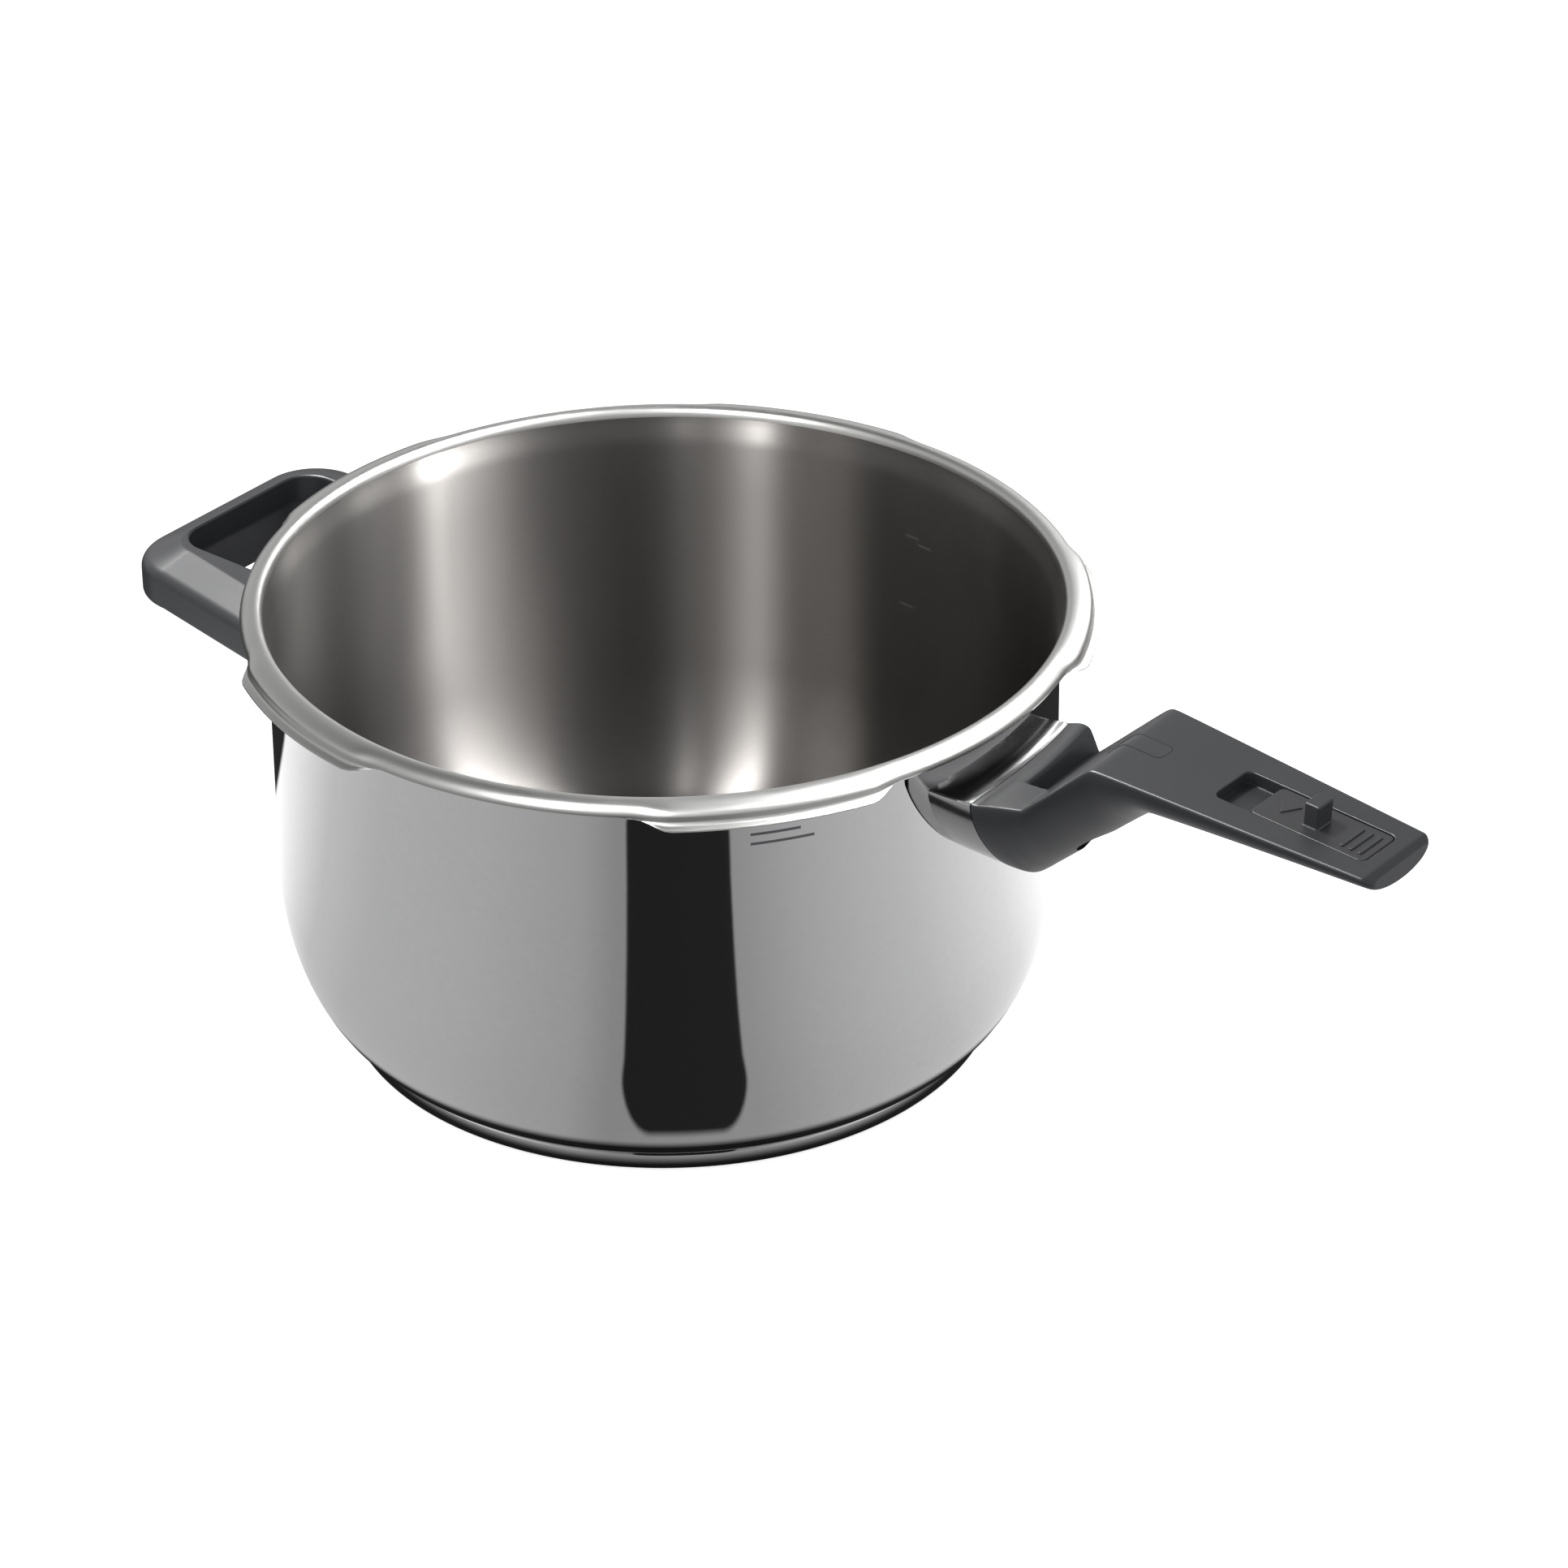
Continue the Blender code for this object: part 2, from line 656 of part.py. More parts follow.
def washer(name, inner, outer, start, end, matrix, spec=ZINC):
    profile = [(inner, start), (outer, start), (outer, end), (inner, end)]
    return object_from(turned_ring(profile, 24, matrix), name, spec)


def spring_washer(name, inner, outer, start, end, matrix):
    """A split washer: the ring has a gap."""
    ring = washer(name, inner, outer, start, end, matrix, SPRING_STEEL)
    low = (-0.0003, 0.0, start - 0.001)
    high = (0.0003, outer + 0.001, end + 0.001)
    return boolean(ring, object_from(box(low, high, matrix), name + "_gap"))


def handle_fasteners():
    axis = along_x(0.0, BOLT_Z)
    seat = BOLT_SEAT_X + GAP
    washer("handle_washer", BOLT_RADIUS + GAP, BOLT_HEAD_RADIUS + 0.0005, seat, seat + 0.0010, axis)
    lock = seat + 0.0010 + GAP
    spring_washer("lock_washer", BOLT_RADIUS + GAP, BOLT_HEAD_RADIUS, lock, lock + 0.0011, axis)
    under_head = lock + 0.0011 + GAP
    screw(
        "handle_bolt",
        BOLT_RADIUS,
        BOLT_HEAD_RADIUS,
        (under_head + 0.0036, under_head),
        (under_head, BOLT_TIP_X),
        axis,
    )
    screw(
        "cover_screw",
        0.0011,
        0.0021,
        (-0.0111, -0.0095),
        (-0.0095, -0.0035),
        grip_axis(COVER_SCREW_U),
    )
    screw(
        "keeper_screw",
        0.0008,
        0.0016,
        (-0.0068, -0.0061),
        (-0.0061, -0.0022),
        grip_axis((STEM_U[0] + STEM_U[1]) / 2),
    )


def lock_slide():
    """The thumb plate with its stud, its arrow and its grip ribs, and the stem below it."""
    top = -0.0002
    foot = -RECESS_DEPTH + GAP
    slide = object_from(grip_plate(SLIDE_U, SLIDE_HALF_WIDTH, 0.0018, (foot, top)), "lock_slide", PHENOLIC)
    stud = grip_plate(STUD_U, STUD_HALF_WIDTH, 0.0004, (foot + 0.001, STUD_HEIGHT))
    boolean(slide, object_from(stud, "slide_stud"), "UNION")
    for i, u in enumerate(RIB_U):
        rib = grip_box((u, u + 0.0011), 0.0052, (foot + 0.001, top + 0.0004))
        boolean(slide, object_from(rib, f"slide_rib_{i}"), "UNION")
    arrow = [(0.0530, 0.0026), (0.0465, 0.0026), (0.0498, -0.0030)]
    form = extruded(arrow[::-1], foot + 0.001, top + 0.0003, grip_matrix())
    boolean(slide, object_from(form, "slide_arrow"), "UNION")
    stem = grip_plate(STEM_U, STEM_HALF_WIDTH, 0.0006, (FLOOR_V, foot + 0.001))
    boolean(slide, object_from(stem, "slide_stem"), "UNION")
    hole = pin(0.0011, -0.010, -0.0018, grip_axis((STEM_U[0] + STEM_U[1]) / 2), 12)
    return boolean(slide, object_from(hole, "slide_screw_hole"))


def slide_keeper():
    keeper = object_from(grip_plate(KEEPER_U, KEEPER_HALF_WIDTH, 0.0010, KEEPER_V), "slide_keeper", ZINC)
    hole = pin(0.0011, -0.012, 0.002, grip_axis((STEM_U[0] + STEM_U[1]) / 2), 12)
    return boolean(keeper, object_from(hole, "keeper_hole"))


def slide_spring():
    """A compression spring along U, between the cavity's end and the keeper."""
    start = CAVITY_U[0] + GAP + SPRING_WIRE
    end = KEEPER_U[0] - GAP - SPRING_WIRE
    height = (FLOOR_V + CAVITY_V) / 2
    steps_per_turn = 9
    count = SPRING_TURNS * steps_per_turn
    points = []
    for i in range(count + 1):
        angle = 2 * math.pi * i / steps_per_turn
        u = start + (end - start) * i / count
        local = (u, SPRING_RADIUS * math.cos(angle), height + SPRING_RADIUS * math.sin(angle))
        points.append(grip_matrix() @ Vector(local))
    curve = bpy.data.curves.new("slide_spring", "CURVE")
    curve.dimensions = "3D"
    spline = curve.splines.new("POLY")
    spline.points.add(len(points) - 1)
    for spline_point, point in zip(spline.points, points):
        spline_point.co = (*point, 1.0)
    curve.bevel_depth = SPRING_WIRE
    curve.bevel_resolution = 0
    curve.use_fill_caps = True
    obj = bpy.data.objects.new("slide_spring", curve)
    bpy.context.scene.collection.objects.link(obj)
    curve.materials.append(material(SPRING_STEEL))
    return obj


def loop_outline(shrink, steps=5):
    """Plan of the side handle: round outer corners, straight arms, and a root inside the pan's wall."""
    tip = LOOP_TIP_HALF_WIDTH - shrink
    outer = LOOP_OUTER_X - shrink
    corner = LOOP_CORNER - 0.7 * shrink
    points = [(-LOOP_INNER_X, LOOP_ROOT_HALF_WIDTH - shrink)]
    for i in range(steps + 1):
        angle = math.pi / 2 * i / steps
        x = outer - corner + corner * math.sin(angle)
        y = tip - corner + corner * math.cos(angle)
        points.append((-x, y))
    return points + [(x, -y) for x, y in reversed(points)]


def side_handle():
    edge = LOOP_EDGE_ROUND
    levels = (
        (edge, LOOP_BOTTOM_Z),
        (0.3 * edge, LOOP_BOTTOM_Z + 0.3 * edge),
        (0.0, LOOP_BOTTOM_Z + edge),
        (0.0, LOOP_EDGE_Z - edge),
        (0.3 * edge, LOOP_EDGE_Z - 0.4 * edge),
        (edge, LOOP_EDGE_Z),
        (LOOP_TOP_SLOPE_WIDTH, LOOP_TOP_Z),
    )
    rings = [[(x, y, z) for x, y in loop_outline(shrink)] for shrink, z in levels]
    handle = object_from(loft(rings), "side_handle", PHENOLIC)
    pan_side = turned([(LOOP_FACE_RADIUS, 0.080), (LOOP_FACE_RADIUS, 0.115)], 96)
    boolean(handle, object_from(pan_side, "pan_side"))
    opening_rings = []
    for outer_x, z in (
        (OPENING_FOOT_X - 0.002, LOOP_BOTTOM_Z - 0.002),
        (OPENING_FOOT_X, LOOP_BOTTOM_Z + 0.001),
        (OPENING_TOP_X, OPENING_STEP_Z),
        (OPENING_TOP_X, LOOP_TOP_Z + 0.002),
    ):
        half_x = (outer_x - OPENING_INNER_X) / 2
        centre_x = -(outer_x + OPENING_INNER_X) / 2
        outline_at = rounded_outline(half_x, OPENING_HALF_WIDTH, OPENING_CORNER)
        opening_rings.append([(x + centre_x, y, z) for x, y in outline_at])
    boolean(handle, object_from(loft(opening_rings), "finger_opening"))
    slot_low = (-(TAB_END_X + 0.0005), -(TAB_HALF_WIDTH + GAP), TAB_Z[0] - GAP)
    slot_high = (-0.1000, TAB_HALF_WIDTH + GAP, TAB_Z[1] + 0.0030)
    boolean(handle, object_from(box(slot_low, slot_high), "tab_slot"))
    axis = Matrix.Translation((-LOOP_SCREW_X, 0, 0))
    hole = pin(LOOP_SCREW_RADIUS + GAP, 0.085, TAB_Z[0] + 0.001, axis)
    boolean(handle, object_from(hole, "loop_screw_hole"))
    seat = pin(0.0042, 0.085, 0.0949, axis)
    return boolean(handle, object_from(seat, "loop_screw_seat"))


def side_bracket():
    half_angle = math.radians(9.0)
    low, high = 0.0930, 0.1040
    inner = WALL_RADIUS + GAP
    outer = inner + BRACKET_SHEET
    rings = []
    for i in range(7):
        angle = math.pi + half_angle * (i / 3 - 1)
        corners = ((inner, low), (outer, low), (outer, high), (inner, high))
        rings.append([(r * math.cos(angle), r * math.sin(angle), z) for r, z in corners])
    bracket = object_from(loft(rings), "side_bracket", ZINC)
    tab = box((-TAB_END_X, -TAB_HALF_WIDTH, TAB_Z[0]), (-(inner + 0.0006), TAB_HALF_WIDTH, TAB_Z[1]))
    boolean(bracket, object_from(tab, "bracket_tab"), "UNION")
    hole = pin(LOOP_SCREW_RADIUS + GAP, 0.085, 0.110, Matrix.Translation((-LOOP_SCREW_X, 0, 0)))
    return boolean(bracket, object_from(hole, "bracket_hole"))


def side_fasteners():
    axis = Matrix.Translation((-LOOP_SCREW_X, 0, 0))
    washer("side_washer", LOOP_SCREW_RADIUS + GAP, 0.0040, 0.0941, 0.0946, axis)
    screw("side_screw", LOOP_SCREW_RADIUS, 0.0036, (0.0916, 0.0938), (0.0938, 0.1012), axis)
    nut_radius = 0.0036
    profile = [
        (LOOP_SCREW_RADIUS + GAP, TAB_Z[1] + GAP),
        (nut_radius, TAB_Z[1] + GAP),
        (nut_radius, TAB_Z[1] + 0.0025),
        (LOOP_SCREW_RADIUS + GAP, TAB_Z[1] + 0.0025),
    ]
    object_from(turned_ring(profile, 6, axis), "side_nut", ZINC)


def main():
    clear_scene()
    pan_shell()
    base_core()
    base_capsule()
    flame_guard()
    long_bracket()
    long_handle()
    index_inlay()
    underside_cover()
    handle_fasteners()
    lock_slide()
    slide_keeper()
    slide_spring()
    side_handle()
    side_bracket()
    side_fasteners()


main()
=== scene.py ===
"""A 22 cm pressure cooker pan, dressed and lit in a small studio.

The pan's axis is +Z, the long handle points along +X and the side handle along -X. All sizes are in metres.
"""

from __future__ import annotations

import logging
import math
from dataclasses import dataclass
from enum import Enum
from typing import Callable, Iterable, Sequence

import bmesh
import bpy
from mathutils import Matrix, Vector

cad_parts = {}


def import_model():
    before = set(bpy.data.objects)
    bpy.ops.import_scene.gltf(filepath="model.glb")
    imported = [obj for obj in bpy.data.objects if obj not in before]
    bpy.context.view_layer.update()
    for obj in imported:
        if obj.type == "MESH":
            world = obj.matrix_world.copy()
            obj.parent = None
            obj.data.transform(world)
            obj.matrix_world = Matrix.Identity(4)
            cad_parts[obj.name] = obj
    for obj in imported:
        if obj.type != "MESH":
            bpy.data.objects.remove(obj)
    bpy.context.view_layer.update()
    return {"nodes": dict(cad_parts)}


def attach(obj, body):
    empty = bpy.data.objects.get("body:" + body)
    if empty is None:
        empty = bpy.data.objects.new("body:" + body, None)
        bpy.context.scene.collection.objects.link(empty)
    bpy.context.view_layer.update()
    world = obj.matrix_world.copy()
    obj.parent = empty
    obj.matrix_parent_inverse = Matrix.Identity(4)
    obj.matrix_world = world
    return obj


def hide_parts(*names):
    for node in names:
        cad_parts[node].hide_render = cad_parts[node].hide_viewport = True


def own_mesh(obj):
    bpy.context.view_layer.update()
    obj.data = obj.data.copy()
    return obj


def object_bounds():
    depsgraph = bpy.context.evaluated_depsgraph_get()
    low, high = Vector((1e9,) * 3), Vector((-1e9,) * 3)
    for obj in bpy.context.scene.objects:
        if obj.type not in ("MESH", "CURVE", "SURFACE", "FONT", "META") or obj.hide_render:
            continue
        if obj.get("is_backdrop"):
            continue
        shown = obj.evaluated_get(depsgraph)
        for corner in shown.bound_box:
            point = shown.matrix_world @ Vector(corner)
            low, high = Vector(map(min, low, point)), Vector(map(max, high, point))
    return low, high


LOG = logging.getLogger("pan")
GAP = 0.0003

Point2 = tuple[float, float]


class Body(Enum):
    """The bodies that pieces ride on."""

    PAN = "pan"
    LOCK = "lock"


class Slot(Enum):
    """The record's material slots."""

    STEEL = "polished_steel"
    PHENOLIC = "black_phenolic"
    SLIDE = "slide_phenolic"
    ZINC = "zinc_steel"
    SPRING = "spring_steel"
    ALUMINIUM = "aluminium"


# ---------------------------------------------------------------- shape helpers


def smooth_step(value: float, low: float, high: float) -> float:
    """Runs from 0 at low to 1 at high along an S curve."""
    t = min(max((value - low) / (high - low), 0.0), 1.0)
    return t * t * (3 - 2 * t)


def smooth_min(a: float, b: float, blend: float) -> float:
    """The smaller of two heights, with a rounded change between them."""
    return (a + b - math.sqrt((a - b) ** 2 + blend**2)) / 2


def smooth_max(a: float, b: float, blend: float) -> float:
    """The larger of two heights, with a rounded change between them."""
    return -smooth_min(-a, -b, blend)


def shaped_grid(rows: int, columns: int, place: Callable[[int, int], Vector]) -> bmesh.types.BMesh:
    """Makes a grid and moves each crossing to its place on a surface.

    Args:
        rows: Number of crossings in the first direction.
        columns: Number of crossings in the second direction.
        place: Gives the place of crossing (row, column).

    Returns:
        The grid, with crossings at the same place joined.
    """
    bm = bmesh.new()
    bmesh.ops.create_grid(bm, x_segments=rows - 1, y_segments=columns - 1, size=0.5)
    for vert in bm.verts:
        row = round((vert.co.x + 0.5) * (rows - 1))
        column = round((vert.co.y + 0.5) * (columns - 1))
        vert.co = place(row, column)
    bmesh.ops.remove_doubles(bm, verts=bm.verts[:], dist=1e-7)
    return bm


def skin(rings: Sequence[Sequence[Vector]], cap: bool = True, joined: bool = False) -> bmesh.types.BMesh:
    """Stretches one closed skin over rings with equal numbers of points.

    Args:
        rings: The outlines, in order.
        cap: Whether the first and last rings are closed with a face.
        joined: Whether the last ring runs on to the first.

    Returns:
        The skin, with its faces pointing out.
    """
    order = list(rings) + ([rings[0]] if joined else [])
    count = len(order[0])
    bm = shaped_grid(len(order), count + 1, lambda i, j: Vector(order[i][j % count]))
    if cap and not joined:
        edges = [edge for edge in bm.edges if edge.is_boundary]
        bmesh.ops.holes_fill(bm, edges=edges, sides=0)
    bmesh.ops.recalc_face_normals(bm, faces=bm.faces[:])
    return bm


def turned(profile: Sequence[Point2], steps: int, matrix: Matrix | None = None) -> bmesh.types.BMesh:
    """Spins a profile of (radius, height) points about Z.

    Args:
        profile: The points. It starts and ends on the axis, or it is a closed outline clear of the axis.
        steps: Number of steps in the full turn.
        matrix: Where the finished shape goes, if not at the origin.

    Returns:
        The closed shape.
    """
    bm = bmesh.new()
    verts = [bm.verts.new((radius, 0.0, height)) for radius, height in profile]
    edges = [bm.edges.new(pair) for pair in zip(verts, verts[1:])]
    if profile[0][0] > 1e-7:
        edges.append(bm.edges.new((verts[-1], verts[0])))
    geometry = verts + edges
    bmesh.ops.spin(
        bm,
        geom=geometry,
        cent=(0, 0, 0),
        axis=(0, 0, 1),
        angle=2 * math.pi,
        steps=steps,
        use_merge=True,
    )
    bmesh.ops.remove_doubles(bm, verts=bm.verts[:], dist=1e-6)
    bmesh.ops.recalc_face_normals(bm, faces=bm.faces[:])
    if matrix is not None:
        bm.transform(matrix)
    return bm


def arc(centre: Point2, radius: float, start: float, end: float, steps: int) -> list[Point2]:
    """Points along an arc.

    Args:
        centre: The arc's centre.
        radius: Its radius.
        start: Its first angle, in degrees.
        end: Its last angle, in degrees.
        steps: Number of steps.

    Returns:
        The points, one more than the steps.
    """
    angles = [math.radians(start + (end - start) * i / steps) for i in range(steps + 1)]
    return [(centre[0] + radius * math.cos(a), centre[1] + radius * math.sin(a)) for a in angles]


def round_rectangle(centre: Point2, half: Point2, radius: float, steps: int = 6) -> list[Point2]:
    """An anticlockwise rectangle with round corners.

    Args:
        centre: Its middle.
        half: Half its length and half its width.
        radius: Radius of its corners.
        steps: Number of steps in each corner.

    Returns:
        The points.
    """
    points: list[Point2] = []
    for quarter, (sx, sy) in enumerate(((1, 1), (-1, 1), (-1, -1), (1, -1))):
        corner = (centre[0] + sx * (half[0] - radius), centre[1] + sy * (half[1] - radius))
        points += arc(corner, radius, 90 * quarter, 90 * (quarter + 1), steps)
    return points


def pad(
    outline: Callable[[float], list[Point2]],
    low: float,
    high: float,
    edge: float,
    foot: float = 0.0,
) -> bmesh.types.BMesh:
    """A block with a rounded top edge and, where foot is set, a flared foot.

    Args:
        outline: Gives the plan for an inset.
        low: Height of the bottom.
        high: Height of the top.
        edge: Radius of the top edge.
        foot: Width of the flare at the bottom.

    Returns:
        The closed block.
    """
    levels = [(-foot * (1 - math.sin(a)), low + foot * (1 - math.cos(a))) for a in (0, 0.5, 1.0, math.pi / 2)]
    if foot == 0.0:
        levels = [(0.0, low)]
    steps = 4
    for i in range(steps + 1):
        angle = math.pi / 2 * i / steps
        levels.append((edge * (1 - math.cos(angle)), high - edge * (1 - math.sin(angle))))
    rings = [[Vector((x, y, level)) for x, y in outline(inset)] for inset, level in levels]
    return skin(rings)


def finished(
    bm: bmesh.types.BMesh,
    name: str,
    finishes: Sequence[bpy.types.Material],
    angle: float = 32.0,
) -> bpy.types.Object:
    """Turns a mesh into a smooth-shaded object at the origin.

    Args:
        bm: The mesh, which this uses up.
        name: Name of the piece.
        finishes: Its materials, in the order of the faces' indices.
        angle: Edges sharper than this many degrees stay sharp.

    Returns:
        The object.
    """
    mesh = bpy.data.meshes.new(name)
    bm.to_mesh(mesh)
    bm.free()
    for finish in finishes:
        mesh.materials.append(finish)
    mesh.shade_smooth()
    mesh.set_sharp_from_angle(angle=math.radians(angle))
    obj = bpy.data.objects.new(name, mesh)
    bpy.context.scene.collection.objects.link(obj)
    return obj


def carve(obj: bpy.types.Object, cutters: Iterable[bmesh.types.BMesh], join: bool = False) -> None:
    """Cuts the shapes out of the object, or joins them to it, and applies the result.

    Args:
        obj: The object to change.
        cutters: The closed shapes.
        join: Whether they are joined rather than cut.
    """
    for bm in cutters:
        mesh = bpy.data.meshes.new("cutter")
        bm.to_mesh(mesh)
        bm.free()
        cutter = bpy.data.objects.new("cutter", mesh)
        bpy.context.scene.collection.objects.link(cutter)
        modifier = obj.modifiers.new("carve", "BOOLEAN")
        modifier.operation = "UNION" if join else "DIFFERENCE"
        modifier.object = cutter
        graph = bpy.context.evaluated_depsgraph_get()
        made = bpy.data.meshes.new_from_object(obj.evaluated_get(graph))
        obj.modifiers.clear()
        old = obj.data
        obj.data = made
        bpy.data.meshes.remove(old)
        bpy.data.objects.remove(cutter, do_unlink=True)
        bpy.data.meshes.remove(mesh)


def even_shading(obj: bpy.types.Object, angle: float = 30.0) -> None:
    """Shades by face area, so that flats next to fillets look flat.

    Args:
        obj: The piece.
        angle: Edges sharper than this many degrees stay sharp.
    """
    obj.data.shade_smooth()
    obj.data.set_sharp_from_angle(angle=math.radians(angle))
    modifier = obj.modifiers.new("even_shading", "WEIGHTED_NORMAL")
    modifier.keep_sharp = True
    modifier.weight = 80


# ---------------------------------------------------------------- finishes


@dataclass(frozen=True)
class NodeSheet:
    """A small helper that lays out shader nodes in a tree."""

    tree: bpy.types.NodeTree

    def node(self, kind: str, **settings: object) -> bpy.types.Node:
        """Adds a node.

        Args:
            kind: The node's type.
            settings: Its properties by name.

        Returns:
            The node.
        """
        made = self.tree.nodes.new(kind)
        for name, value in settings.items():
            setattr(made, name, value)
        return made

    def join(self, source: bpy.types.NodeSocket, target: bpy.types.NodeSocket) -> None:
        """Links two sockets."""
        self.tree.links.new(source, target)

    def math(self, operation: str, *values: float | bpy.types.NodeSocket) -> bpy.types.NodeSocket:
        """Adds a maths node.

        Args:
            operation: What it works out.
            values: The numbers or sockets that it works on.

        Returns:
            Its result.
        """
        made = self.node("ShaderNodeMath", operation=operation)
        for i, value in enumerate(values):
            if isinstance(value, (int, float)):
                made.inputs[i].default_value = value
            else:
                self.join(value, made.inputs[i])
        return made.outputs[0]

    def length(self, a: bpy.types.NodeSocket, b: bpy.types.NodeSocket) -> bpy.types.NodeSocket:
        """The length of the hypotenuse over two values."""
        return self.math("SQRT", self.math("ADD", self.math("MULTIPLY", a, a), self.math("MULTIPLY", b, b)))

    def eased(
        self, value: bpy.types.NodeSocket, start: float, stop: float, low: float, high: float
    ) -> bpy.types.NodeSocket:
        """Maps a value along an S curve.

        Args:
            value: The value.
            start: Where the change starts.
            stop: Where it ends.
            low: The result before the start.
            high: The result after the end.

        Returns:
            The result.
        """
        made = self.node("ShaderNodeMapRange", interpolation_type="SMOOTHSTEP")
        for i, setting in enumerate((start, stop, low, high)):
            made.inputs[i + 1].default_value = setting
        self.join(value, made.inputs[0])
        return made.outputs[0]


class SharedEffects:
    """Node groups that several finishes use."""

    @staticmethod
    def new_group(
        name: str, inputs: Sequence[tuple[str, float]], outputs: Sequence[str]
    ) -> bpy.types.NodeTree:
        """Makes an empty group that takes a place and numbers.

        Args:
            name: Its name.
            inputs: Names and defaults of the numbers that it takes.
            outputs: Names of the numbers that it gives.

        Returns:
            The group.
        """
        group = bpy.data.node_groups.new(name, "ShaderNodeTree")
        sockets = group.interface
        sockets.new_socket(name="Place", in_out="INPUT", socket_type="NodeSocketVector")
        for title, value in inputs:
            socket = sockets.new_socket(name=title, in_out="INPUT", socket_type="NodeSocketFloat")
            socket.default_value = value
        for title in outputs:
            sockets.new_socket(name=title, in_out="OUTPUT", socket_type="NodeSocketFloat")
        return group

    @classmethod
    def grinding(cls) -> bpy.types.NodeTree:
        """Fine grinding lines that run round the pan's axis, with broad soft bands in them.

        Returns:
            The group.
        """
        inputs = (("Fineness", 9000.0), ("Reach", 30.0))
        group = cls.new_group("grinding_lines", inputs, ("Lines", "Bands"))
        sheet = NodeSheet(group)
        start = sheet.node("NodeGroupInput")
        end = sheet.node("NodeGroupOutput")
        parts = sheet.node("ShaderNodeSeparateXYZ")
        sheet.join(start.outputs["Place"], parts.inputs[0])
        x, y, z = parts.outputs
        radius = sheet.length(x, y)
        angle = sheet.math("ARCTAN2", y, x)
        along = sheet.math("MULTIPLY", angle, start.outputs["Reach"])
        across = sheet.math("MULTIPLY", sheet.math("SUBTRACT", z, radius), start.outputs["Fineness"])
        spot = sheet.node("ShaderNodeCombineXYZ")
        sheet.join(along, spot.inputs[0])
        sheet.join(across, spot.inputs[1])
        lines = sheet.node("ShaderNodeTexNoise", noise_dimensions="2D")
        lines.inputs["Scale"].default_value = 1.0
        lines.inputs["Detail"].default_value = 3.0
        sheet.join(spot.outputs[0], lines.inputs["Vector"])
        broad = sheet.node("ShaderNodeCombineXYZ")
        sheet.join(sheet.math("MULTIPLY", angle, 7.0), broad.inputs[0])
        sheet.join(sheet.math("MULTIPLY", z, 6.0), broad.inputs[1])
        bands = sheet.node("ShaderNodeTexNoise", noise_dimensions="2D")
        bands.inputs["Scale"].default_value = 1.0
        bands.inputs["Detail"].default_value = 2.0
        sheet.join(broad.outputs[0], bands.inputs["Vector"])
        sheet.join(lines.outputs[0], end.inputs["Lines"])
        sheet.join(bands.outputs[0], end.inputs["Bands"])
        return group

    @classmethod
    def handling(cls) -> bpy.types.NodeTree:
        """Faint smears and specks that a used surface carries.

        Returns:
            The group.
        """
        group = cls.new_group("handling_marks", (("Size", 60.0), ("Grain", 2500.0)), ("Smears", "Specks"))
        sheet = NodeSheet(group)
        start = sheet.node("NodeGroupInput")
        end = sheet.node("NodeGroupOutput")
        for key, size, detail in (("Smears", "Size", 3.0), ("Specks", "Grain", 1.0)):
            noise = sheet.node("ShaderNodeTexNoise")
            noise.inputs["Detail"].default_value = detail
            sheet.join(start.outputs["Place"], noise.inputs["Vector"])
            sheet.join(start.outputs[size], noise.inputs["Scale"])
            sheet.join(noise.outputs[0], end.inputs[key])
        return group


